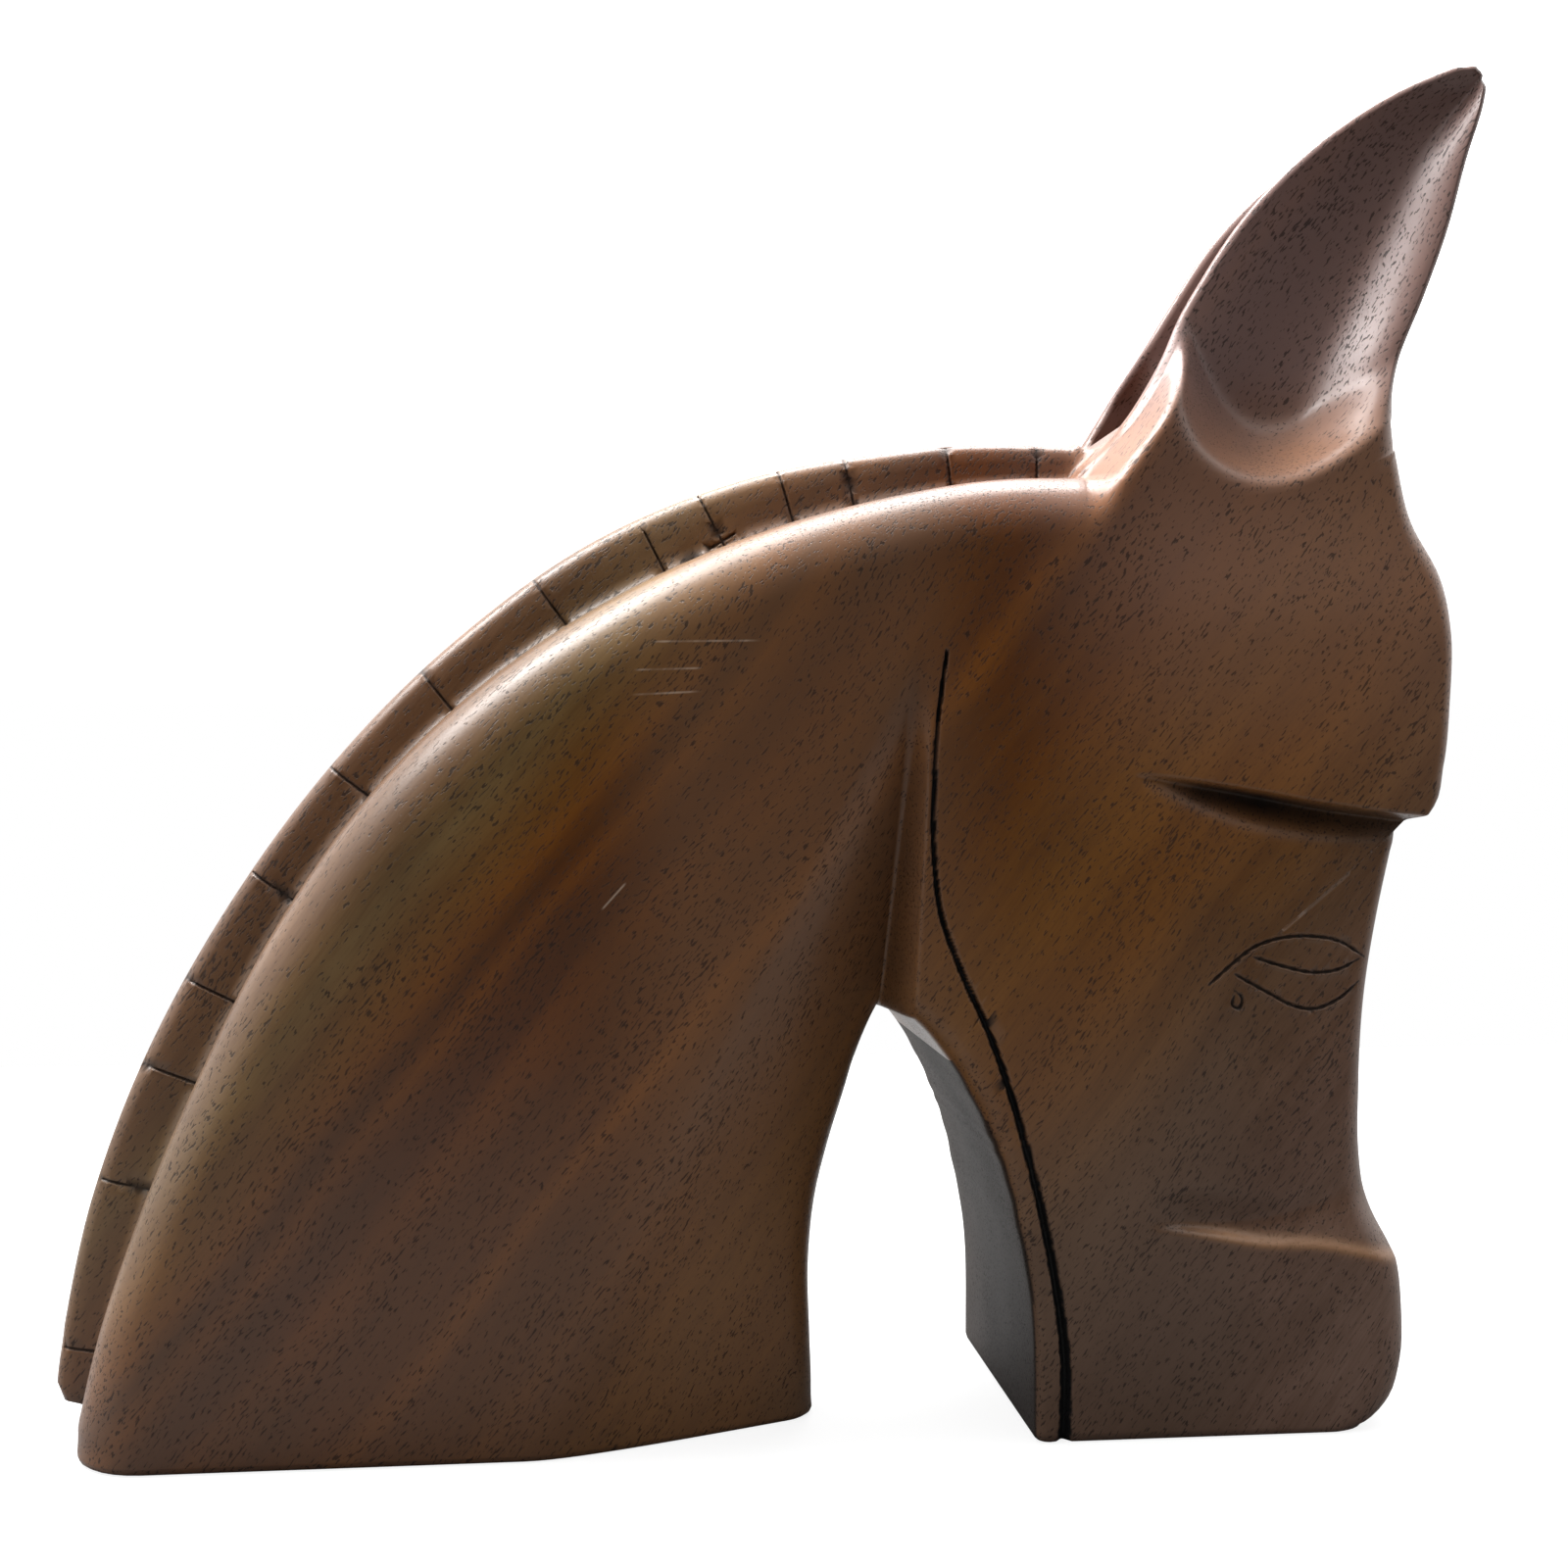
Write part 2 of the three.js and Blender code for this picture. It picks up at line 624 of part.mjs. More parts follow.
function sunkenFace() {
  const floor = [];
  for (let i = 0; i <= SUNKEN_COLUMNS; i++) {
    const x = mix(SUNKEN_START - 2, SUNKEN_FULL + 8, i / SUNKEN_COLUMNS);
    const brow = lineHeight(BROW_LINE, x);
    const muzzle = lineHeight(MUZZLE_LINE, x);
    const ramp = Math.max(RAMP_LEAST, RAMP_RISE * (x - MUZZLE_LINE[0][0]));
    const rows = [
      { z: muzzle - 0.5, share: 0, lift: CUT_LIFT },
      { z: muzzle, share: 0.02, lift: 0 },
      { z: muzzle + ramp * 0.25, share: 0.2, lift: 0 },
      { z: muzzle + ramp, share: 0.78, lift: 0 },
      { z: muzzle + ramp + 1.5, share: FACE_LEVEL, lift: 0 },
      { z: mix(muzzle + ramp, brow, 0.5), share: FACE_LEVEL, lift: 0 },
      { z: brow - UNDERCUT_DROP * 2, share: 0.9, lift: 0 },
      { z: brow - UNDERCUT_DROP * 1.3, share: 0.98, lift: 0 },
      { z: brow - UNDERCUT_DROP, share: 1, lift: 0 },
      { z: brow + 0.2, share: 0, lift: CUT_LIFT },
    ];
    floor.push(rows.map(({ z, share, lift }) => {
      const half = headHalf(x, z) - sunkenDepth(x) * share + lift;
      return [x * percent, -half, z * percent];
    }));
  }
  const outside = floor.map((row) => row.map(([x, , z]) => [x, -halfBoard - BROW_DEPTH, z]));
  return slabBetween(outside, floor);
}

// A carved line along a row of points on the side whose distance from the plane Y = 0 is
// halfAt. It is widest at its end, by the flare.
const GROOVE_FLOOR = 0.2;
const FLARE_START = 0.7;
const TANGENT_REACH = 0.1;

function groove(line, { steps, width, depth, flare, halfAt }) {
  const last = line.length - 1;
  const mouth = [];
  const floor = [];
  for (let i = 0; i <= steps; i++) {
    const t = last * i / steps;
    const [x, z] = splinePoint(line, t, []);
    const before = splinePoint(line, Math.max(t - TANGENT_REACH, 0), []);
    const after = splinePoint(line, Math.min(t + TANGENT_REACH, last), []);
    const along = direction(before, after);
    const half = halfAt(x / percent, z / percent);
    const wide = width * mix(1, flare, smooth(FLARE_START, 1, i / steps));
    const place = (offset, down) => [x - along[1] * offset, down - half, z + along[0] * offset];
    mouth.push([place(-wide, -depth), place(wide, -depth)]);
    floor.push([place(-wide * GROOVE_FLOOR, depth), place(wide * GROOVE_FLOOR, depth)]);
  }
  return slabBetween(mouth, floor);
}

// The groove that draws the edge of the jaw, from below the poll to the underside
const JAW_LINE = [
  [9.5, 55.3], [8.9, 50.7], [8.6, 45.9], [8.6, 41.2], [9.1, 37.0], [10.5, 33.1], [12.5, 28.7],
  [14.0, 24.5], [15.6, 18.8], [16.5, 14.9], [17.5, 9.4], [17.9, 5.8], [17.9, 2.1], [17.8, -0.6],
];

function jawGroove() {
  return groove(JAW_LINE, {
    steps: 2 * (JAW_LINE.length - 1),
    width: JAW_GROOVE_WIDTH,
    depth: JAW_GROOVE_DEPTH,
    flare: 1.45,
    halfAt: () => halfBoard,
  });
}

// The eye is drawn with three thin lines on the sunken face: the upper lid, the fold in
// the middle and the lower lid.
const EYE_LINES = [
  [[40.5, 33.6], [38.4, 34.8], [36.2, 35.2], [33.7, 35.1], [31.7, 34.5], [30.0, 33.3], [28.3, 31.9]],
  [[40.0, 33.5], [38.4, 32.8], [36.5, 32.6], [34.0, 33.1], [31.7, 33.8]],
  [[40.0, 31.9], [38.4, 30.7], [36.2, 30.0], [34.7, 30.3], [33.1, 31.1], [31.6, 31.9], [30.3, 32.6]],
];

function eyeLines() {
  return EYE_LINES.map((line) => groove(line, {
    steps: line.length - 1,
    width: EYE_LINE_WIDTH,
    depth: EYE_LINE_DEPTH,
    flare: 0.5,
    halfAt: (x, z) => headHalf(x, z) - sunkenDepth(x) * FACE_LEVEL,
  }));
}

function build() {
  const cuts = [sunkenFace(), jawGroove(), ...eyeLines()];
  let block = toManifold(blockSkin()).subtract(earGap());
  for (const cut of cuts) block = block.subtract(cut).subtract(cut.mirror([0, 1, 0]));
  return toGeometry(block);
}

const wood = new THREE.MeshStandardMaterial({ color: 0x6b4226, roughness: 0.42, metalness: 0 });
const horseHead = new THREE.Mesh(build(), wood);
horseHead.name = 'horse_head';

const statue = new THREE.Group();
statue.add(horseHead);
const box = new THREE.Box3().setFromObject(statue);
const middle = box.getCenter(new THREE.Vector3());
statue.position.set(-middle.x, -middle.y, -box.min.z);

export default statue;
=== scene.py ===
import bmesh
import bpy
import functools
import math
import numpy as np
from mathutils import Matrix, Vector


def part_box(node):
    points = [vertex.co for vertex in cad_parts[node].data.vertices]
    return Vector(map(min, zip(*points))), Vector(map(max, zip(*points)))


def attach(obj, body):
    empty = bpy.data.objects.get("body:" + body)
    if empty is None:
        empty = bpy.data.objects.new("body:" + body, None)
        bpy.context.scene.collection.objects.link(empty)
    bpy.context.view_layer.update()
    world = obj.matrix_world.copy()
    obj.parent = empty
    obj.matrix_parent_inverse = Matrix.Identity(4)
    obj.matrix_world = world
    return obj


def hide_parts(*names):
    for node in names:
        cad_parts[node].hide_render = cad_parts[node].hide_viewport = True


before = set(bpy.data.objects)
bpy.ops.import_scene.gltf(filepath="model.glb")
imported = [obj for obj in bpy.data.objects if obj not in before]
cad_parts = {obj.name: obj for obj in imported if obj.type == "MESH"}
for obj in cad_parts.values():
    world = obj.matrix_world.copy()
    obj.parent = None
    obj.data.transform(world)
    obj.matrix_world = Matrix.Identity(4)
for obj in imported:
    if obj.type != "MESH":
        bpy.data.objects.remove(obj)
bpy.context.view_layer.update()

# The board. The whole head is one thick board of straight-grained hardwood, sawn to its
# outline and rounded along its edges. It is drawn in hundredths of its own height, x
# forward and z up. Each rib crosses a broad side from the inner edge to the outer edge.
HEIGHT = 243.0
BOARD_THICKNESS = 62.0
PERCENT = HEIGHT / 100
HALF_BOARD = BOARD_THICKNESS / 2

# inner x, inner z, outer x, outer z, height of the mane
RIBS = np.array([
    (1.1, 0, -50.1, 0, 0),
    (1.0, 1.4, -50.0, 1.8, 0),
    (1.0, 1.8, -50.0, 2.2, 2.1),
    (1.0, 2.6, -49.8, 3.3, 2.8),
    (0.9, 5.8, -48.9, 7.4, 3.2),
    (0.8, 11.1, -46.2, 15.8, 4.1),
    (1.3, 16.0, -42.4, 25.1, 4.4),
    (2.3, 20.0, -37.0, 35.8, 3.9),
    (3.4, 23.5, -30.7, 44.9, 3.6),
    (4.2, 26.1, -22.2, 53.3, 3.8),
    (5.0, 28.1, -12.3, 59.8, 4.4),
    (5.5, 29.2, -2.1, 64.3, 4.2),
    (5.8, 29.8, 8.2, 67.1, 3.5),
    (7.4, 29.6, 9.7, 67.4, 3.4),
    (8.4, 28.6, 15.6, 68.2, 3.0),
    (8.8, 28.1, 20.2, 68.4, 2.8),
    (10.0, 26.5, 43.1, 70.4, 0),
    (10.7, 25.4, 44.3, 65.3, 0),
    (11.2, 24.4, 46.3, 61.3, 0),
    (11.7, 23.5, 47.0, 57.2, 0),
    (12.2, 22.5, 46.9, 52.3, 0),
    (12.6, 21.4, 46.4, 47.5, 0),
    (13.0, 20.6, 45.6, 44.8, 0),
    (13.1, 20.2, 44.7, 43.9, 0),
    (13.3, 19.8, 43.8, 43.5, 0),
    (13.5, 19.3, 43.3, 41.5, 0),
    (13.8, 18.2, 42.2, 37.0, 0),
    (14.2, 16.9, 41.1, 30.9, 0),
    (14.5, 15.3, 40.7, 24.7, 0),
    (14.9, 13.7, 40.8, 19.3, 0),
    (15.2, 12.1, 41.6, 15.2, 0),
    (15.5, 10.3, 42.9, 11.9, 0),
    (15.7, 8.2, 43.3, 8.4, 0),
    (15.8, 4.9, 43.2, 4.7, 0),
    (15.8, 2.5, 42.4, 2.1, 0),
    (15.8, 0.8, 40.8, 0.5, 0),
    (15.8, 0, 38.9, 0, 0),
])
CREASE_FOOT = 12
CREASE_TOP = 13
EAR_REAR = 15
EAR_FRONT = 16
BROW_LIP = 23
NOSE_CORNER = 24
MUZZLE_START = 30
LAST_RIB = len(RIBS) - 1
INNER_CORNERS = (CREASE_FOOT, CREASE_TOP)
OUTER_CORNERS = (EAR_REAR, EAR_FRONT, NOSE_CORNER)

SHOULDER_RADIUS = 12.0
FRONT_EDGE_RADIUS = 5.0
MUZZLE_EDGE_RADIUS = 7.0
THROAT_EDGE_RADIUS = 4.0
ARCH_EDGE_RADIUS = 2.0
# How much of the edge radius is left at the lip of the brow, and how many ribs that takes
BROW_EDGE_SHARE = 0.5
BROW_EDGE_REACH = 2
MUZZLE_EDGE_REACH = 2


def smooth(start, end, value):
    share = np.clip((value - start) / (end - start), 0, 1)
    return share * share * (3 - 2 * share)


def mix(a, b, share):
    return a + (b - a) * share


def length_of(way):
    return math.hypot(way[0], way[1])


def tangent(points, at, i, corners):
    """The heading of a curve at one of its points, in the stretch that begins at point i."""
    if at in corners or at in (0, len(points) - 1):
        way = points[i + 1] - points[i]
        return way / length_of(way)
    back = points[at] - points[at - 1]
    ahead = points[at + 1] - points[at]
    share = length_of(back) / (length_of(back) + length_of(ahead))
    return mix(back / length_of(back), ahead / length_of(ahead), share)


def curve_point(points, t, corners=()):
    """The place at position t on a smooth curve through a row of points."""
    i = min(int(t), len(points) - 2)
    share = t - i
    length = length_of(points[i + 1] - points[i])
    early = share * (1 - share) ** 2 * length
    late = share ** 2 * (share - 1) * length
    place = mix(points[i], points[i + 1], share * share * (3 - 2 * share))
    place = place + tangent(points, i, i, corners) * early + tangent(points, i + 1, i, corners) * late
    return place * PERCENT


@functools.lru_cache(None)
def inner_point(u):
    return curve_point(RIBS[:, 0:2], u, INNER_CORNERS)


@functools.lru_cache(None)
def outer_point(u):
    if EAR_REAR < u < EAR_FRONT:
        return ear_plan_point(u - EAR_REAR, 0)
    return curve_point(RIBS[:, 2:4], u, OUTER_CORNERS)


def outer_edge_radius(u):
    to_front = mix(SHOULDER_RADIUS, FRONT_EDGE_RADIUS, smooth(EAR_REAR, EAR_FRONT, u))
    brow_sharp = mix(BROW_EDGE_SHARE, 1, min(abs(u - BROW_LIP) / BROW_EDGE_REACH, 1))
    to_muzzle = smooth(MUZZLE_START - MUZZLE_EDGE_REACH, MUZZLE_START, u)
    return mix(to_front * brow_sharp, MUZZLE_EDGE_RADIUS, to_muzzle)


def inner_edge_radius(u):
    return mix(THROAT_EDGE_RADIUS, ARCH_EDGE_RADIUS, smooth(EAR_REAR, LAST_RIB, u))


# The flat of the neck. Past a straight line its side is planed away to a thin throat, so
# that the jaw stands out behind it as a wall. The poll and the forehead are planed in a
# little as well.
THROAT_THICKNESS = 27.0
SLOPE_LINE_FOOT = (-19.8, 0)
SLOPE_LINE_TOP = (8.4, 58.5)
SLOPE_SOFTNESS = 0.25
POLL_TAPER = 2.5
BROW_TAPER = 1.5
# Where the planing at the poll and at the brow begins and is full, in hundredths
POLL_FORWARD = (12, 30)
POLL_UPWARD = (56, 68)
BROW_FORWARD = (35, 47)
BROW_UPWARD = (12, 25)
THROAT_DROP = HALF_BOARD - THROAT_THICKNESS / 2


@functools.lru_cache(None)
def slope_line_share(u):
    inner = inner_point(u)
    outer = outer_point(u)
    run = (SLOPE_LINE_TOP[0] - SLOPE_LINE_FOOT[0]) / (SLOPE_LINE_TOP[1] - SLOPE_LINE_FOOT[1])
    start = SLOPE_LINE_FOOT[0] * PERCENT + run * inner[1] - inner[0]
    rate = outer[0] - inner[0] - run * (outer[1] - inner[1])
    return start / rate


def neck_slope_drop(u, v):
    past = 1 - v / slope_line_share(min(u, CREASE_FOOT))
    if past <= 0:
        return 0.0
    eased = past * past / (past + SLOPE_SOFTNESS) * (1 + SLOPE_SOFTNESS)
    return THROAT_DROP * eased * (1 - smooth(CREASE_FOOT, CREASE_TOP, u))


def within_range(ends, value):
    return smooth(ends[0] * PERCENT, ends[1] * PERCENT, value)


def half_thickness(u, v, x, z):
    poll = POLL_TAPER * within_range(POLL_FORWARD, x) * within_range(POLL_UPWARD, z)
    brow = BROW_TAPER * within_range(BROW_FORWARD, x) * within_range(BROW_UPWARD, z)
    return HALF_BOARD - poll - brow - neck_slope_drop(u, v)


# The ears. Each is a leaf-shaped blade left standing on the poll, hollowed on its outer
# side into a cup with a valley near its front rim, and parted from the other by a gap
# carved down to the poll. All of it is the same wood as the board.
EAR_REAR_EDGE = np.array([
    (20.2, 68.4), (23.5, 72.3), (27.0, 77.9), (29.8, 82.7),
    (34.2, 89.2), (40.2, 94.9), (47.6, 99.1), (50.5, 100),
])
EAR_FRONT_EDGE = np.array([
    (43.1, 70.4), (42.9, 73.0), (44.2, 77.6), (46.3, 82.4),
    (48.1, 87.0), (49.8, 92.8), (51.2, 96.9), (51.7, 99.2),
])
EAR_SPREAD_REAR = 33.0
EAR_SPREAD_TIP = 38.0
EAR_REAR_TUCK = 7.6
EAR_CUP_DEPTH = 9.0
EAR_RIM_THICKNESS = 2.4
EAR_WALL_THICKNESS = 5.0
EAR_WALL_SWELL = 0.62
EAR_GAP_REAR = 29.0
EAR_GAP_FRONT = 48.0
EAR_ROOT_SAG = 3.4
EAR_VALLEY = 0.66
EAR_FRONT_RIM = 0.95
CUP_LEAD = -0.25
REAR_FACE_SHARE = 0.1
FRONT_ROUND_START = 0.904
COLUMN_CROWDING = 0.8
# The lip of the cup hangs as a curve, lowest at one share across the ear.
CUP_LIP_MIDDLE = 0.6
CUP_LIP_LOW = 0.03
CUP_LIP_RISE = 0.5
CUP_LIP_REACH = 0.2
GAP_FLOOR = 0.17
EAR_TIP_START = 0.9
EAR_TIP_END = 0.966
EAR_TIP_NARROWING = 0.15
RIM_SHARE_LIMIT = 0.3
EAR_COLUMNS = 44
EAR_ROWS = 60
FLOOR_ROW = 10


def ear_plan_point(c, w):
    t = w * (len(EAR_REAR_EDGE) - 1)
    rear = curve_point(EAR_REAR_EDGE, t)
    front = curve_point(EAR_FRONT_EDGE, t)
    sag = EAR_ROOT_SAG * PERCENT * math.sin(math.pi * c) * (1 - w) ** 2
    point = mix(rear, front, c)
    return np.array([point[0], point[1] - sag])


def ear_root_half(c, x, z):
    side = half_thickness(EAR_REAR, 1, x, z)
    risen = mix(EAR_SPREAD_REAR / 2, side, smooth(0, REAR_FACE_SHARE, c))
    rounded = max(0, (c - FRONT_ROUND_START) / (1 - FRONT_ROUND_START))
    return risen - FRONT_EDGE_RADIUS * (1 - math.sqrt(max(0, 1 - rounded ** 2)))


def cup_shape(c):
    if c >= EAR_VALLEY:
        return 1 - smooth(EAR_VALLEY, EAR_FRONT_RIM, c)
    before = smooth(CUP_LEAD, 1, 0)
    return smooth(CUP_LEAD, 1, c / EAR_VALLEY) - before * (1 - c / EAR_VALLEY)


def ear_outer_half(c, w, x, z):
    side = half_thickness(EAR_REAR, 1, x, z)
    rear = mix(EAR_SPREAD_REAR, EAR_SPREAD_TIP, w) / 2 - EAR_REAR_TUCK * math.sin(math.pi * w) ** 1.5
    front = mix(side - FRONT_EDGE_RADIUS, EAR_SPREAD_TIP / 2, w)
    depth = EAR_CUP_DEPTH * math.sqrt(max(0, 1 - w))
    cup = mix(rear, front, c) - depth * cup_shape(c)
    lip = CUP_LIP_LOW + CUP_LIP_RISE * (c - CUP_LIP_MIDDLE) ** 2
    return mix(ear_root_half(c, x, z), cup, smooth(lip, lip + CUP_LIP_REACH, w))


def ear_wall(c, w):
    return mix(EAR_RIM_THICKNESS, EAR_WALL_THICKNESS, math.sin(math.pi * c * EAR_WALL_SWELL) * (1 - w ** 4))


def ear_inner_half(c, w, outer_half):
    return min(outer_half - ear_wall(c, w), mix(EAR_GAP_REAR, EAR_GAP_FRONT, c) / 2)


def ear_row_share(row):
    if row <= FLOOR_ROW:
        return GAP_FLOOR * row / FLOOR_ROW
    return mix(GAP_FLOOR, EAR_TIP_END, (row - FLOOR_ROW) / (EAR_ROWS - FLOOR_ROW))


def column_share(i):
    """The columns stand closer together toward both edges of the ear, where it turns."""
    even = i / EAR_COLUMNS
    return mix(even, (1 - math.cos(math.pi * even)) / 2, COLUMN_CROWDING)


def ear_column_share(i, w):
    """The share across the ear, drawn in from both edges by the round of the rims."""
    width = length_of(ear_plan_point(1, w) - ear_plan_point(0, w))
    inset = min(EAR_RIM_THICKNESS / 2 * smooth(0, GAP_FLOOR, w) / width, RIM_SHARE_LIMIT)
    inset += EAR_TIP_NARROWING * smooth(EAR_TIP_START, EAR_TIP_END, w) ** 2
    return mix(inset, 1 - inset, column_share(i))


def ear_faces():
    """The outer face and the back face of the near ear, column by column."""
    outer = []
    back = []
    for i in range(EAR_COLUMNS + 1):
        outer_column = []
        back_column = []
        for row in range(EAR_ROWS + 1):
            w = ear_row_share(row)
            c = ear_column_share(i, w)
            x, z = ear_plan_point(c, w)
            half = ear_outer_half(c, w, x, z)
            outer_column.append((x, -half, z))
            if row >= FLOOR_ROW:
                back_column.append((x, -ear_inner_half(c, w, half), z))
        outer.append(outer_column)
        back.append(back_column)
    return outer, back


# The broad sides of the board as grids of points, one row for each station. The edges
# are rubbed round, and both feet are rounded a little where they meet the ground.
SIDE_STEP = 1.8
ROUND_ROWS = 8
SIDE_ROWS = 46
CREASE_STEPS = 6
FOOT_RADIUS = 1.2
FOOT_TURNS = (1.0, 0.72, 0.4)
FIRST_STATION = 0.3
LAST_STATION = LAST_RIB - 0.75


def station_list():
    stations = []
    for rib in range(LAST_RIB):
        outside = length_of(outer_point(rib + 1) - outer_point(rib))
        inside = length_of(inner_point(rib + 1) - inner_point(rib))
        steps = max(2, math.ceil(max(outside, inside) / SIDE_STEP))
        if rib == CREASE_FOOT:
            steps = CREASE_STEPS
        if rib == EAR_REAR:
            stations += [rib + column_share(i) for i in range(EAR_COLUMNS)]
        else:
            stations += [rib + step / steps for step in range(steps)]
    inside_feet = [u for u in stations if FIRST_STATION < u < LAST_STATION]
    return [FIRST_STATION] + inside_feet + [LAST_STATION]


def side_rows(u):
    """For each point of a station: its share of the rib, its inset and its turn outside."""
    length = length_of(outer_point(u) - inner_point(u))
    inner_share = inner_edge_radius(u) / length
    outer_share = outer_edge_radius(u) / length
    turns = [math.pi / 2 * step / ROUND_ROWS for step in range(ROUND_ROWS + 1)]
    rows = [(inner_share * (1 - math.cos(a)), inner_edge_radius(u) * (1 - math.sin(a)), 0) for a in turns]
    for row in range(1, SIDE_ROWS + 1):
        rows.append((mix(inner_share, 1 - outer_share, row / (SIDE_ROWS + 1)), 0, 0))
    rows += [(1 - outer_share * (1 - math.cos(a)), 0, 1 - math.sin(a)) for a in reversed(turns)]
    return rows


def edge_drop(u, side, x, z):
    """How far the side has turned in toward the middle at the outer edge."""
    if EAR_REAR < u < EAR_FRONT:
        return side - ear_root_half(u - EAR_REAR, x, z)
    if u <= EAR_REAR:
        return mix(SHOULDER_RADIUS, side - EAR_SPREAD_REAR / 2, smooth(CREASE_TOP, EAR_REAR, u))
    return outer_edge_radius(u)


def side_points(u):
    points = []
    for v, inset, turned in side_rows(u):
        x, z = mix(inner_point(u), outer_point(u), v)
        side = half_thickness(u, v, x, z)
        points.append((x, inset + turned * edge_drop(u, side, x, z) - side, z))
    return points


def on_the_ground(points, shares, heading):
    """Rows that round a station over onto the ground; the shares run across the foot."""
    rows = []
    for turn in FOOT_TURNS:
        inset = FOOT_RADIUS * (1 - math.cos(turn * math.pi / 2))
        lowered = 1 - math.sin(turn * math.pi / 2)
        row = []
        for (x, y, z), share in zip(points, shares):
            row.append((x + heading * inset * (2 * share - 1), y * (1 - inset / HALF_BOARD), z * lowered))
        rows.append(row)
    return rows


def mirrored(points):
    return [(x, -y, z) for x, y, z in points]


class Skin:
    """Collects grids of points as one mesh."""

    def __init__(self):
        self.points = []
        self.faces = []

    def grid(self, rows, flipped=False):
        start = len(self.points)
        width = len(rows[0])
        for row in rows:
            self.points.extend(row)
        for i in range(len(rows) - 1):
            for j in range(width - 1):
                a = start + i * width + j
                corners = (a, a + width, a + width + 1, a + 1)
                self.faces.append(corners[::-1] if flipped else corners)

    def both(self, rows, flipped=False):
        self.grid(rows, flipped)
        self.grid([mirrored(row) for row in rows], not flipped)

    def sheet(self, outline):
        start = len(self.points)
        self.points.extend(outline)
        self.faces.append(tuple(range(start, start + len(outline))))


THROAT_COLUMNS = 16
stations = station_list()
sides = [side_points(u) for u in stations]
ear_outer, ear_back = ear_faces()
ear_start = stations.index(EAR_REAR)
ear_end = stations.index(EAR_FRONT)
for i in range(EAR_COLUMNS + 1):
    ear_outer[i][0] = sides[ear_start + i][-1]

first_shares = [row[0] for row in side_rows(FIRST_STATION)]
last_shares = [row[0] for row in side_rows(LAST_STATION)]
side_grid = on_the_ground(sides[0], first_shares, 1)
side_grid += sides
side_grid += on_the_ground(sides[-1], last_shares, -1)[::-1]

throat_grid = []
for row in side_grid:
    x, y, z = row[0]
    throat_grid.append([(x, mix(y, -y, k / THROAT_COLUMNS), z) for k in range(THROAT_COLUMNS + 1)])

skin = Skin()
skin.both(side_grid)
skin.grid(throat_grid, flipped=True)
skin.both(ear_outer)
skin.both(ear_back, flipped=True)

# The mane and the rims. The mane is a ridge left proud along the back of the neck,
# narrower than the neck and rounded on top. It ends in a heel above the base and runs
# into the poll, where the edge goes on as the rounded rims of the ears.
MANE_THICKNESS = 17.0
MANE_FOOT_SHARE = 0.6
MANE_CORNERS = (0, 1, 2, EAR_REAR)
CROWN = 1.4
CROWN_FADE = 2
SHELF_SHARES = (0.25, 0.5, 0.78)
MANE_PROFILE = (
    (0.0, 1.07), (0.22, 1.02), (0.5, 0.98), (0.76, 0.93), (0.9, 0.83), (0.98, 0.66), (1.01, 0.4), (1.02, 0.0),
)
RIM_TURNS = len(SHELF_SHARES) + 1
ROOT_REACH = 3


def mane_height(u):
    """A smooth height between the ribs that carry the mane."""
    if u > EAR_REAR:
        return 0.0
    values = RIBS[:, 4]
    i = min(int(u), LAST_RIB - 1)
    share = u - i
    before = i if i in MANE_CORNERS else i - 1
    after = i + 1 if i + 1 in MANE_CORNERS else i + 2
    slope1 = (values[i + 1] - values[before]) / 2
    slope2 = (values[after] - values[i]) / 2
    risen = mix(values[i], values[i + 1], share * share * (3 - 2 * share))
    return (risen + slope1 * share * (1 - share) ** 2 + slope2 * share ** 2 * (share - 1)) * PERCENT


def edge_profile(edge_half, mane):
    """From the near side to the middle plane: pairs of offset outward and half width."""
    foot = min(MANE_THICKNESS / 2, edge_half * MANE_FOOT_SHARE)
    places = [(0, edge_half)]
    places += [(0, mix(edge_half, foot * MANE_PROFILE[0][1], share)) for share in SHELF_SHARES]
    places += [(rise, foot * width) for rise, width in MANE_PROFILE]
    return [(rise * mane + CROWN * (1 - (half / edge_half) ** 2), half) for rise, half in places]


def gap_profile(edge_half, gap_half):
    """The same places at the foot of the gap: the round of a rim, then the floor."""
    profile = []
    for step in range(RIM_TURNS + 1):
        angle = math.pi * step / RIM_TURNS
        half = mix(edge_half, gap_half, (1 - math.cos(angle)) / 2)
        profile.append((EAR_RIM_THICKNESS / 2 * math.sin(angle), half))
    steps = len(MANE_PROFILE) - 1
    return profile + [(0, gap_half * (1 - step / steps)) for step in range(1, steps + 1)]


def offset_row(point, outward, profile):
    x, y, z = point
    return [(x + outward[0] * offset, -half, z + outward[1] * offset) for offset, half in profile]


def across_edge(point, outward, profile):
    near = offset_row(point, outward, profile)
    return near + mirrored(near[:-1])[::-1]


def outward_normal(before, after):
    """The normal to the left of the way from before to after, in the plane of the board."""
    way = np.array([after[0] - before[0], after[2] - before[2]])
    way = way / length_of(way)
    return np.array([-way[1], way[0]])


def rib_heading(u, end):
    """Which way the edge faces: along its rib, and straight ahead where the ear begins."""
    way = np.array([end[0], end[2]]) - inner_point(u)
    way = way / length_of(way)
    if u < EAR_FRONT:
        return way
    return mix(np.array([1.0, 0.0]), way, smooth(EAR_FRONT, EAR_FRONT + ROOT_REACH, u))


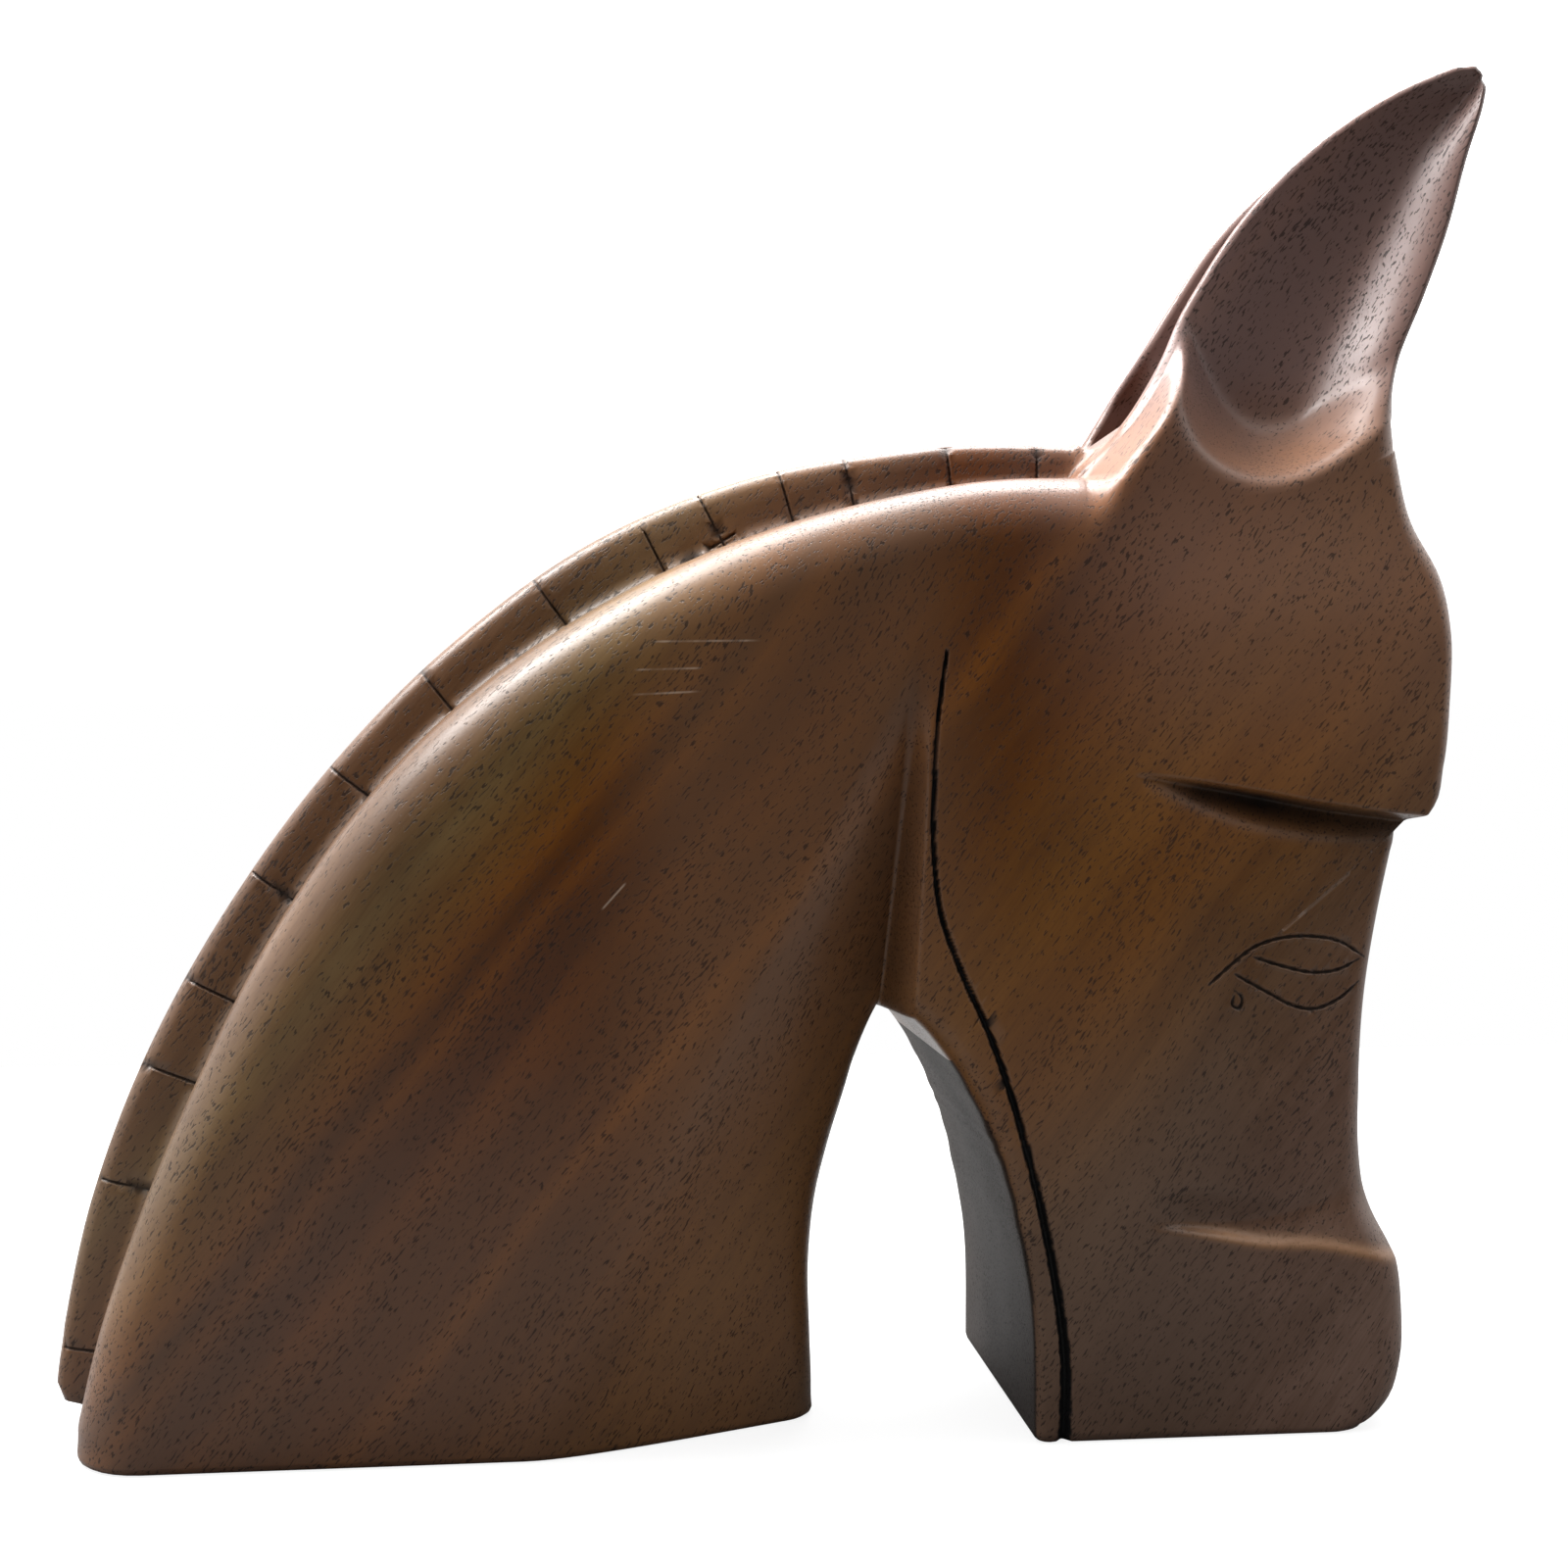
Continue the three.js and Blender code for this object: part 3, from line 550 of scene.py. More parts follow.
rear_strips = []
for u, side in zip(stations[:ear_start + 1], sides):
    end = side[-1]
    rear_strips.append(across_edge(end, rib_heading(u, end), edge_profile(-end[1], mane_height(u))))
front_strips = []
for u, side in zip(stations[ear_end:], sides[ear_end:]):
    end = side[-1]
    faded = min(1, (LAST_RIB - u) / CROWN_FADE)
    profile = [(offset * faded, half) for offset, half in edge_profile(-end[1], 0)]
    front_strips.append(across_edge(end, rib_heading(u, end), profile))

for end, u in ((0, EAR_REAR), (-1, EAR_FRONT)):
    column = ear_outer[end]
    wall = ear_back[end][0][1] - column[FLOOR_ROW][1]
    rising = []
    for row in range(1, FLOOR_ROW + 1):
        point = column[row]
        way = outward_normal(column[row - 1], column[row + 1])
        normal = way if u == EAR_REAR else -way
        share = smooth(0, 1, row / FLOOR_ROW)
        outward = mix(rib_heading(u, column[0]), normal, share)
        at_root = edge_profile(-point[1], mane_height(u) * (1 - share))
        at_gap = gap_profile(-point[1], -point[1] - wall)
        profile = [(mix(a[0], b[0], share), mix(a[1], b[1], share)) for a, b in zip(at_root, at_gap)]
        rising.append(across_edge(point, outward, profile))
    if u == EAR_REAR:
        rear_strips += rising
    else:
        front_strips = rising[::-1] + front_strips

edge_shares = [1.0] * len(rear_strips[0])
rear_grid = on_the_ground(rear_strips[0], edge_shares, 1) + rear_strips
front_grid = front_strips + on_the_ground(front_strips[-1], edge_shares, -1)[::-1]
skin.grid(rear_grid)
skin.grid(front_grid)

rim_way = [(ear_outer[0][row], ear_back[0][row - FLOOR_ROW]) for row in range(FLOOR_ROW, EAR_ROWS)]
rim_way += [(ear_outer[i][-1], ear_back[i][-1]) for i in range(EAR_COLUMNS + 1)]
rim_way += [
    (ear_outer[-1][row], ear_back[-1][row - FLOOR_ROW]) for row in range(EAR_ROWS - 1, FLOOR_ROW - 1, -1)
]
rims = [rear_strips[-1][:RIM_TURNS + 1]]
for k in range(1, len(rim_way) - 1):
    outer, back = rim_way[k]
    outward = outward_normal(rim_way[k - 1][0], rim_way[k + 1][0])
    rims.append(offset_row(outer, outward, gap_profile(-outer[1], -back[1])[:RIM_TURNS + 1]))
rims.append(front_strips[0][:RIM_TURNS + 1])
skin.both(rims)

floor_columns = 2 * (len(MANE_PROFILE) - 1)
gap_floor = []
for column in ear_back:
    x, y, z = column[0]
    gap_floor.append([(x, y * (1 - 2 * k / floor_columns), z) for k in range(floor_columns + 1)])
skin.grid(gap_floor)

# The flat undersides of the neck and of the muzzle
for side, strip, throat in zip(
    (side_grid[0], side_grid[-1]), (rear_grid[0], front_grid[-1]), (throat_grid[0], throat_grid[-1])
):
    skin.sheet(side[:-1] + strip + mirrored(side[:-1])[::-1] + throat[-2:0:-1])

mesh = bpy.data.meshes.new("carved_head")
mesh.from_pydata(skin.points, [], skin.faces)
carving = bmesh.new()
carving.from_mesh(mesh)
WELD = 0.002
bmesh.ops.remove_doubles(carving, verts=carving.verts, dist=WELD)
bmesh.ops.recalc_face_normals(carving, faces=carving.faces)


# The carved lines and hollows. The face is sunken below a sharp brow and rises again to
# the muzzle. The jaw, the eye and the cuts of the mane are lines made with a small
# gouge, so the mesh is made finer around each before it is pressed in.
def sampled(points, steps=8):
    """A smooth line through points in hundredths of the height, as places in millimetres."""
    points = np.array(points, float)
    count = steps * (len(points) - 1)
    return np.array([curve_point(points, (len(points) - 1) * k / count) for k in range(count + 1)])


def line_distance(x, z, line):
    """How far each place is from a line, and how far along the line its nearest point is."""
    nearest = np.full(len(x), 1e6)
    along = np.zeros(len(x))
    run = 0.0
    for start, end in zip(line, line[1:]):
        way = end - start
        length = length_of(way)
        share = np.clip(((x - start[0]) * way[0] + (z - start[1]) * way[1]) / length ** 2, 0, 1)
        off = np.hypot(x - start[0] - share * way[0], z - start[1] - share * way[1])
        along = np.where(off < nearest, run + share * length, along)
        nearest = np.minimum(nearest, off)
        run += length
    return nearest, along


JAW_LINE = sampled([
    (9.5, 55.3), (8.9, 50.7), (8.6, 45.9), (8.6, 41.2), (9.1, 37.0), (10.5, 33.1), (12.5, 28.7),
    (14.0, 24.5), (15.6, 18.8), (16.5, 14.9), (17.5, 9.4), (17.9, 5.8), (17.9, 2.1), (17.8, -0.6),
])
EYE_LINES = [
    sampled([
        (40.5, 33.6), (38.4, 34.8), (36.2, 35.2), (33.7, 35.1), (31.7, 34.5), (30.0, 33.3), (28.3, 31.9),
    ]),
    sampled([(40.0, 33.5), (38.4, 32.8), (36.5, 32.6), (34.0, 33.1), (31.7, 33.8)]),
    sampled([
        (40.0, 31.9), (38.4, 30.7), (36.2, 30.0), (34.7, 30.3), (33.1, 31.1), (31.6, 31.9), (30.3, 32.6),
    ]),
    sampled([(30.2, 31.5), (30.8, 30.9), (30.6, 30.2), (30.1, 30.4), (30.2, 31.1)]),
]
BROW_LINE = sampled([
    (22.6, 47.0), (24.9, 46.7), (27.8, 46.3), (32.2, 45.6), (36.6, 44.8), (41.0, 44.2), (46.0, 43.7),
])
MUZZLE_LINE = sampled([
    (25.0, 14.6), (26.8, 14.4), (29.3, 14.0), (32.2, 13.5), (36.6, 13.2), (39.5, 12.6), (44.5, 11.6),
])
RAMP_TOP_LINE = sampled([(25.0, 14.9), (28.1, 15.0), (32.5, 15.6), (35.4, 16.1), (39.9, 17.1), (44.5, 18.2)])


def height_of(line, x):
    return np.interp(x, line[:, 0], line[:, 1])


def refine(near, longest):
    """Halve the long edges whose middles lie near a feature until all are short enough."""
    while True:
        edges = carving.edges[:]
        ends = np.array([(*edge.verts[0].co, *edge.verts[1].co) for edge in edges])
        middle = (ends[:, :3] + ends[:, 3:]) / 2
        chosen = np.linalg.norm(ends[:, 3:] - ends[:, :3], axis=1) > longest
        chosen[chosen] = near(*middle[chosen].T)
        if not chosen.any():
            return
        split = [edges[i] for i in np.flatnonzero(chosen)]
        bmesh.ops.subdivide_edges(carving, edges=split, cuts=1, use_grid_fill=True)


def between_ends(ends, value):
    return (value > ends[0]) & (value < ends[1])


def beside(line, forward, upward, off_middle):
    """A test for the places within a range forward and above or below a line, off the middle."""
    def test(x, y, z):
        above = z - height_of(line, x)
        return between_ends(forward, x) & between_ends(upward, above) & (np.abs(y) > off_middle)
    return test


def close_to(lines, forward, upward, off_middle, reach):
    """A test for the places nearer to one of some lines than the reach."""
    def test(x, y, z):
        maybe = between_ends(forward, x) & between_ends(upward, z) & between_ends(off_middle, np.abs(y))
        nearest = np.full(len(x), 1e6)
        for line in lines:
            nearest[maybe] = np.minimum(nearest[maybe], line_distance(x[maybe], z[maybe], line)[0])
        return nearest < reach
    return test


MANE_HALF = 9.4
MANE_FRONT = 56
# Each cut of the mane: where it starts on the crest, and where it ends at the foot
MANE_CUTS = [
    np.array(cut) * PERCENT for cut in (
        ((18.2, 71.9), (18.0, 67.9)), ((11.3, 71.2), (11.6, 67.2)), ((3.6, 70.3), (4.4, 65.8)),
        ((-1.3, 69.2), (-0.1, 64.8)), ((-7.2, 67.3), (-5.0, 62.9)), ((-11.2, 64.6), (-9.2, 60.6)),
        ((-19.3, 61.0), (-16.4, 57.0)), ((-27.5, 54.4), (-24.4, 50.6)), ((-34.0, 47.4), (-30.2, 44.6)),
        ((-39.3, 39.7), (-35.2, 37.0)), ((-44.1, 32.2), (-39.4, 30.0)), ((-47.0, 26.1), (-42.2, 24.4)),
        ((-49.8, 17.9), (-45.0, 16.9)), ((-52.3, 6.0), (-48.2, 5.6)),
    )
]
MANE_CRACK = np.array([(-9.3, 61.6), (-7.6, 62.6), (-4.6, 64.5)]) * PERCENT

refine(beside(BROW_LINE, (53, 114), (-10, 2), 12), 1.3)
refine(beside(BROW_LINE, (56, 113), (-2.4, 0.8), 17), 0.5)
refine(beside(MUZZLE_LINE, (56, 108), (-2.5, 8), 14), 0.9)
refine(close_to([JAW_LINE], (16, 48), (-1, 138), (27, 40), 1.5), 0.5)
refine(close_to(EYE_LINES, (64, 102), (68, 90), (20, 40), 1.0), 0.28)
refine(close_to([MANE_CRACK] + MANE_CUTS, (-132, MANE_FRONT), (2, 178), (-1, MANE_HALF), 0.8), 0.42)

BROW_DEPTH = 6.5
SUNKEN_START = 25 * PERCENT
SUNKEN_FULL = 44 * PERCENT
SUNKEN_EASE = 1.2
FACE_LEVEL = 0.85
FULL_PRESS_HALF = 24.0
SIDE_HALF = 18
BROW_WALL = (-0.1, 1.1)
LEAST_RAMP = 0.8
RAMP_EVENNESS = 0.8
# The gouge under the brow: how deep it is and how far down it reaches, along the face
GOUGE_DEPTH = ((55, 60, 68, 78, 88, 98, 108), (0, 1.0, 2.8, 3.8, 3.2, 2.2, 1.6))
GOUGE_REACH = ((55, 64, 74, 84, 94, 106), (3.2, 5.6, 8.2, 8.6, 7.4, 5.6))
GOUGE_START = 0.4
# The dent above the rear end of the muzzle
DENT_DEPTH = ((58, 65, 76, 90), (0, 1.7, 1.4, 0.5))
DENT_RISE = (0, 1.3)
DENT_FALL = (1.8, 9)


def sunken_depth(x, z):
    """How far the side of the face lies below the side of the board."""
    share = np.clip((x - SUNKEN_START) / (SUNKEN_FULL - SUNKEN_START), 0, None)
    level = FACE_LEVEL * BROW_DEPTH * share ** SUNKEN_EASE
    below = height_of(BROW_LINE, x) - z
    above = z - height_of(MUZZLE_LINE, x)
    ramp = np.maximum(height_of(RAMP_TOP_LINE, x) - height_of(MUZZLE_LINE, x), LEAST_RAMP)
    wall = smooth(*BROW_WALL, below)
    gouge = np.interp(x, *GOUGE_DEPTH)
    fillet = wall * (1 - smooth(GOUGE_START, np.interp(x, *GOUGE_REACH), below))
    rise = smooth(0, 1, np.clip(above / ramp, 0, 1)) ** RAMP_EVENNESS
    dent = np.interp(x, *DENT_DEPTH) * smooth(*DENT_RISE, above) * (1 - smooth(*DENT_FALL, above))
    return np.where((below > BROW_WALL[0]) & (above > 0), level * wall * rise + gouge * fillet + dent, 0)


JAW_GROOVE_WIDTH = 1.6
JAW_GROOVE_DEPTH = 1.5
# The groove of the jaw is thin at its top and wide at its foot
JAW_GROOVE_SPREAD = ((0, 0.05, 0.3, 0.6, 0.85, 1), (0.35, 0.5, 0.6, 0.85, 1.15, 1.5))
JAW_HALF_BOARD = 27
EYE_LINE_HALF = 0.42
EYE_LINE_DEPTH = 0.5
EYE_HALF_BOARD = 20
BURR_HEIGHT = 0.1
CUT_HALF = 0.34
CUT_DEPTH = 0.6
# How dark the black stain and the painted shade under the brow's overhang are along the gouge
GOUGE_STAIN_AND_SHADE = ((58, 68, 80, 92, 106), (0, 0.85, 1, 0.7, 0.45))
ARCH_STAIN = 0.85
ARCH_HALF_BOARD = 30
# The tan along the muzzle crest, forward along the face: partly wear, partly a painted highlight on the crest
MUZZLE_WEAR_AND_HIGHLIGHT = ((62, 72, 108), (0, 1, 0.8))

places = np.array([vertex.co[:] for vertex in carving.verts])
x, y, z = places.T.copy()
side = np.sign(y)
pressed = sunken_depth(x, z) * np.minimum(1, np.abs(y) / FULL_PRESS_HALF)
below_brow = height_of(BROW_LINE, x) - z
# Below the brow's lip the gouge is darkened: partly black stain, partly painted shade under the overhang
in_gouge = smooth(0.1, 0.8, below_brow) * (1 - smooth(1.8, 7.0, below_brow)) * (np.abs(y) > SIDE_HALF)
stain_and_shade = 0.95 * np.interp(x, *GOUGE_STAIN_AND_SHADE) * in_gouge
arch_line = np.array([inner_point(u) for u in np.linspace(EAR_FRONT, LAST_RIB, 40)])
on_arch = (line_distance(x, z, arch_line)[0] < 0.6) & (np.abs(y) < ARCH_HALF_BOARD)
stain_and_shade = np.maximum(stain_and_shade, ARCH_STAIN * on_arch)
# A tan band along the muzzle crest, partly wear and partly a painted highlight
above_muzzle = z - height_of(MUZZLE_LINE, x)
crest_wear_and_highlight = np.exp(-((above_muzzle - 0.6) / 1.1) ** 2) * np.interp(x, *MUZZLE_WEAR_AND_HIGHLIGHT) * (np.abs(y) > SIDE_HALF)

# The hand that cut the lines wavered a little
jaw_off, jaw_along = line_distance(x, z, JAW_LINE)
jaw_half = JAW_GROOVE_WIDTH / 2 * np.interp(jaw_along / jaw_along.max(), *JAW_GROOVE_SPREAD)
jaw_half = jaw_half * (1 + 0.08 * np.sin(jaw_along * 1.3) + 0.06 * np.sin(jaw_along * 3.7 + 1))
jaw_share = np.clip(1.15 - jaw_off / jaw_half, 0, 1) * (np.abs(y) > JAW_HALF_BOARD)
pressed += JAW_GROOVE_DEPTH * jaw_share
stain_and_shade = np.maximum(stain_and_shade, smooth(0.05, 0.3, jaw_share))

for number, line in enumerate(EYE_LINES):
    off, along = line_distance(x, z, line)
    ends = np.minimum(smooth(0, 3, along), smooth(0, 2, along.max() - along + 0.6))
    half = EYE_LINE_HALF * (0.55 + 0.45 * ends) * (1 + 0.18 * np.sin(along * 2.9 + number))
    on_face = np.abs(y) > EYE_HALF_BOARD
    share = np.clip(1 - off / half, 0, 1) * on_face
    burr = np.exp(-((off - 0.55) / 0.2) ** 2) * on_face * ends
    pressed += EYE_LINE_DEPTH * share * ends - BURR_HEIGHT * burr
    stain_and_shade = np.maximum(stain_and_shade, 0.85 * smooth(0.1, 0.6, share))
y = y - side * pressed

cut_share = np.zeros(len(x))
on_mane = (np.abs(y) < MANE_HALF) & (x < MANE_FRONT)
for cut in MANE_CUTS + [MANE_CRACK]:
    off = line_distance(x[on_mane], z[on_mane], cut)[0]
    cut_share[on_mane] = np.maximum(cut_share[on_mane], np.clip(1 - off / CUT_HALF, 0, 1))
y = y - side * CUT_DEPTH * cut_share * np.minimum(1, np.abs(y) / 6)
stain_and_shade = np.maximum(stain_and_shade, 0.8 * smooth(0.1, 0.7, cut_share))

# The finished head stands where the plain one does
MILLIMETRE = 0.001
low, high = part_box("horse_head")
shift = high[0] / MILLIMETRE - x.max()
for vertex, place in zip(carving.verts, zip(x + shift, y, z)):
    vertex.co = Vector(place) * MILLIMETRE
for face in carving.faces:
    face.smooth = True
bmesh.ops.triangulate(carving, faces=[face for face in carving.faces if len(face.verts) > 4])
carving.to_mesh(mesh)
carving.free()
mesh.attributes.new("stain_and_shade", "FLOAT", "POINT").data.foreach_set("value", stain_and_shade)
mesh.attributes.new("crest_wear_and_highlight", "FLOAT", "POINT").data.foreach_set("value", crest_wear_and_highlight)

head = bpy.data.objects.new("carved_head", mesh)
bpy.context.scene.collection.objects.link(head)
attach(head, "root")
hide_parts("horse_head")

# The wood and its finish. Straight diagonal grain with orange and dark stripes, open
# pores, a satin wax polish and black stain in the carved lines, with painted shade under the brow, a painted
# highlight on the muzzle crest and painted sheen on the shoulder, forehead, ears, throat and feet.
GRAIN_ANGLE = math.radians(51)
wood = bpy.data.materials.new("polished_hardwood")
wood.use_nodes = True
nodes = wood.node_tree.nodes
links = wood.node_tree.links
surface = nodes["Principled BSDF"]


def put(kind, **settings):
    node = nodes.new(kind)
    for name, value in settings.items():
        setattr(node, name, value)
    return node


def feed(value, socket):
    if isinstance(value, bpy.types.NodeSocket):
        links.new(value, socket)
    else:
        socket.default_value = value


def sum_of(kind, a, b=0.0, c=0.0, clamp=False):
    node = put("ShaderNodeMath", operation=kind, use_clamp=clamp)
    for socket, value in zip(node.inputs, (a, b, c)):
        feed(value, socket)
    return node.outputs[0]


def along_way(vector, way):
    node = put("ShaderNodeVectorMath", operation="DOT_PRODUCT")
    feed(vector, node.inputs[0])
    feed(way, node.inputs[1])
    return node.outputs["Value"]


def together(a, b, c):
    node = put("ShaderNodeCombineXYZ")
    for socket, value in zip(node.inputs, (a, b, c)):
        feed(value, socket)
    return node.outputs[0]


def cloud(vector, scale, detail=3.0, roughness=0.5):
    node = put("ShaderNodeTexNoise")
    feed(vector, node.inputs["Vector"])
    feed(scale, node.inputs["Scale"])
    feed(detail, node.inputs["Detail"])
    feed(roughness, node.inputs["Roughness"])
    return node.outputs["Fac"]


def between(value, low_end, high_end, low_out=0.0, high_out=1.0):
    node = put("ShaderNodeMapRange", interpolation_type="SMOOTHSTEP")
    names = ("Value", "From Min", "From Max", "To Min", "To Max")
    for name, number in zip(names, (value, low_end, high_end, low_out, high_out)):
        feed(number, node.inputs[name])
    return node.outputs["Result"]


def tinted(share, a, b, blend="MIX"):
    node = put("ShaderNodeMix", data_type="RGBA", blend_type=blend)
    feed(share, node.inputs["Factor"])
    feed(a, node.inputs["A"])
    feed(b, node.inputs["B"])
    return node.outputs["Result"]


def shade(red, green, blue):
    """A colour as the eye names it, from 0 to 255, turned into light."""
    return tuple((part / 255) ** 2.2 for part in (red, green, blue)) + (1.0,)


# Where a point of the wood lies: across, along and into the grain, forward and up
GRAIN_TILT = 0.22
place = put("ShaderNodeTexCoord").outputs["Object"]
across = along_way(place, (math.sin(GRAIN_ANGLE), GRAIN_TILT, -math.cos(GRAIN_ANGLE)))
along = along_way(place, (math.cos(GRAIN_ANGLE), 0.0, math.sin(GRAIN_ANGLE)))
depth = along_way(place, (0.0, 1.0, 0.0))
forward = along_way(place, (1.0, 0.0, 0.0))
height = along_way(place, (0.0, 0.0, 1.0))
WANDER = 0.012
wander = sum_of("MULTIPLY_ADD", cloud(place, 11.0, 2.0), WANDER, -WANDER / 2)
layer = sum_of("ADD", across, wander)

# Place across the grain in millimetres, and the colour of the stripe there
STRIPES_AND_SHOULDER_SHEEN = [
    # The pale olive stripes from -124 to -109 lie along the rounded shoulder and carry both grain and a
    # painted olive-grey sheen there
    (-140, (112, 79, 59)), (-124, (108, 80, 55)), (-117, (120, 96, 62)), (-109, (122, 82, 38)),
    (-104, (118, 70, 22)), (-100.5, (88, 50, 14)), (-97, (118, 67, 17)), (-93, (90, 48, 11)),
    (-89, (88, 46, 10)), (-85, (110, 60, 13)), (-77, (98, 54, 11)), (-70, (106, 59, 13)),
    (-66.5, (128, 74, 18)), (-62, (96, 54, 13)), (-48, (112, 66, 18)), (-32, (124, 80, 32)),
    (-14, (128, 81, 33)), (-2, (120, 82, 46)), (10, (110, 82, 60)), (30, (106, 80, 66)),
    (110, (128, 104, 92)),
]
SPAN = 0.28
ramp = put("ShaderNodeValToRGB")
stops = ramp.color_ramp.elements
while len(stops) < len(STRIPES_AND_SHOULDER_SHEEN):
    stops.new(0.5)
for stop, (at, colour) in zip(stops, STRIPES_AND_SHOULDER_SHEEN):
    stop.position = at * MILLIMETRE / SPAN + 0.5
for stop, (at, colour) in zip(stops, STRIPES_AND_SHOULDER_SHEEN):
    stop.color = shade(*colour)
feed(sum_of("MULTIPLY_ADD", layer, 1 / SPAN, 0.5), ramp.inputs["Fac"])


def grained(by_layer, by_depth, by_length, detail, evenness=0.5):
    """A cloud drawn out along the grain, from how many times it changes in a metre each way."""
    ways = ((layer, by_layer), (depth, by_depth), (along, by_length))
    vector = together(*(sum_of("MULTIPLY", way, scale) for way, scale in ways))
    return cloud(vector, 1.0, detail, evenness)


streaks = grained(260.0, 110.0, 9.0, 5.0, 0.62)
fibres = grained(2400.0, 1200.0, 150.0, 2.0, 0.6)
patches = cloud(place, 22.0, 5.0, 0.62)

# The pores are short dark flecks, crowded in some places and few in others
pore_cells = grained(2900.0, 2900.0, 620.0, 1.0)
pore_crowd = grained(90.0, 60.0, 30.0, 3.0)
pore_line = sum_of("MULTIPLY_ADD", pore_crowd, -0.24, 0.72)
pores = between(sum_of("SUBTRACT", pore_cells, pore_line), 0.0, 0.06)

colour = tinted(1.0, ramp.outputs["Color"], shade(222, 216, 208), "MULTIPLY")
colour = tinted(between(streaks, 0.3, 0.7), colour, ramp.outputs["Color"])
colour = tinted(between(patches, 0.4, 0.72, 0.0, 0.4), colour, shade(62, 42, 26))
colour = tinted(between(fibres, 0.4, 0.8, 0.0, 0.3), colour, shade(58, 36, 20))

# The forehead is purplish, partly from the wood and partly a painted grey sheen; the ear cup, the throat and
# the feet get painted sheen too: grey in the cup, pale on the turned throat, and grey toward the bottom from
# the floor
forehead_tone_and_sheen = sum_of("MULTIPLY", between(height, 0.09, 0.15), between(forward, 0.025, 0.07))
colour = tinted(sum_of("MULTIPLY", forehead_tone_and_sheen, 0.55), colour, shade(136, 106, 92))
# Painted grey sheen in the ear cup
ear_painted_sheen = sum_of("MULTIPLY", between(height, 0.168, 0.19), between(forward, 0.04, 0.07))
colour = tinted(sum_of("MULTIPLY", ear_painted_sheen, 0.5), colour, shade(116, 100, 102))
# Where the throat turns, a pale painted sheen stands for the light on its turned plane
throat_painted_sheen = sum_of("MULTIPLY", between(forward, -0.04, -0.015), between(forward, 0.04, 0.015))
by_the_nose = between(forward, 0.07, 0.085)
# Painted grey sheen from the floor, greyer toward the bottom, kept off the throat and the nose
low_painted_sheen = sum_of("MULTIPLY", between(height, 0.13, 0.03), sum_of("SUBTRACT", 1.0, throat_painted_sheen, clamp=True))
low_painted_sheen = sum_of("MULTIPLY", low_painted_sheen, sum_of("SUBTRACT", 1.0, by_the_nose, clamp=True))
colour = tinted(sum_of("MULTIPLY", low_painted_sheen, 0.5), colour, shade(92, 74, 62))
# Pale painted sheen on the throat
colour = tinted(sum_of("MULTIPLY", throat_painted_sheen, 0.45), colour, shade(120, 94, 74))
colour = tinted(sum_of("MULTIPLY", pores, 0.7), colour, shade(26, 17, 12))

# Light scratches on the near side of the neck, and a dark dash near its foot
MARK_DEPTH = (-0.02, -0.025)
SCRATCH_HALF_WIDTH = 0.28
# Middle forward and up in millimetres, lean in degrees, half length
SCRATCHES = ((-15.1, 135.8, 1, 9.5), (-21.4, 131.1, 2, 5.9), (-21.7, 127.1, 3, 6.2), (-30.4, 93.4, 48, 3.2))


def mark(ahead, up, lean, half_length, half_width):
    """The share of a short straight mark, its middle and its sizes in millimetres."""
    turn = math.radians(lean)
    node = put("ShaderNodeVectorMath", operation="SUBTRACT")
    feed(place, node.inputs[0])
    feed(together(ahead * MILLIMETRE, 0.0, up * MILLIMETRE), node.inputs[1])
    along_it = sum_of("ABSOLUTE", along_way(node.outputs[0], (math.cos(turn), 0.0, math.sin(turn))))
    off_it = sum_of("ABSOLUTE", along_way(node.outputs[0], (-math.sin(turn), 0.0, math.cos(turn))))
    line = sum_of("MULTIPLY", between(along_it, half_length * MILLIMETRE, half_length * 0.7 * MILLIMETRE),
                  between(off_it, half_width * MILLIMETRE, 0.0))
    return sum_of("MULTIPLY", line, between(depth, *MARK_DEPTH))


for scratch in SCRATCHES:
    share = sum_of("MULTIPLY", mark(*scratch, SCRATCH_HALF_WIDTH), between(streaks, 0.35, 0.6, 0.1, 0.6))
    colour = tinted(share, colour, shade(190, 168, 148))
colour = tinted(sum_of("MULTIPLY", mark(-4.0, 37.6, 2, 3.4, 0.8), 0.7), colour, shade(30, 22, 20))

# Near black: stain in the jaw, eye and mane lines and on the arch wall, and stain with painted shade in the
# gouge under the brow
stain_and_shade_share = put("ShaderNodeAttribute", attribute_name="stain_and_shade").outputs["Fac"]
colour = tinted(stain_and_shade_share, colour, shade(12, 11, 12))
# Tan on the muzzle crest: partly wear, partly a painted highlight
crest_wear_and_highlight_share = put("ShaderNodeAttribute", attribute_name="crest_wear_and_highlight").outputs["Fac"]
colour = tinted(sum_of("MULTIPLY", crest_wear_and_highlight_share, 0.5), colour, shade(176, 132, 96))
feed(colour, surface.inputs["Base Color"])

# The wax is satin on the wood and dull in the pores and on the stain and the painted shade
roughness = between(patches, 0.3, 0.7, 0.29, 0.37)
roughness = sum_of("MULTIPLY_ADD", pores, 0.25, roughness)
feed(sum_of("MULTIPLY_ADD", stain_and_shade_share, 0.35, roughness), surface.inputs["Roughness"])
surface.inputs["Specular IOR Level"].default_value = 0.24
surface.inputs["Coat Weight"].default_value = 0.08
surface.inputs["Coat Roughness"].default_value = 0.25

PORE_RELIEF = 0.0001
relief = sum_of("MULTIPLY_ADD", pores, -0.7, sum_of("MULTIPLY", fibres, 0.3))
relief = sum_of("MULTIPLY_ADD", streaks, 0.4, relief)
bump = put("ShaderNodeBump")
bump.inputs["Strength"].default_value = 0.5
bump.inputs["Distance"].default_value = PORE_RELIEF
feed(relief, bump.inputs["Height"])
feed(bump.outputs["Normal"], surface.inputs["Normal"])
mesh.materials.append(wood)

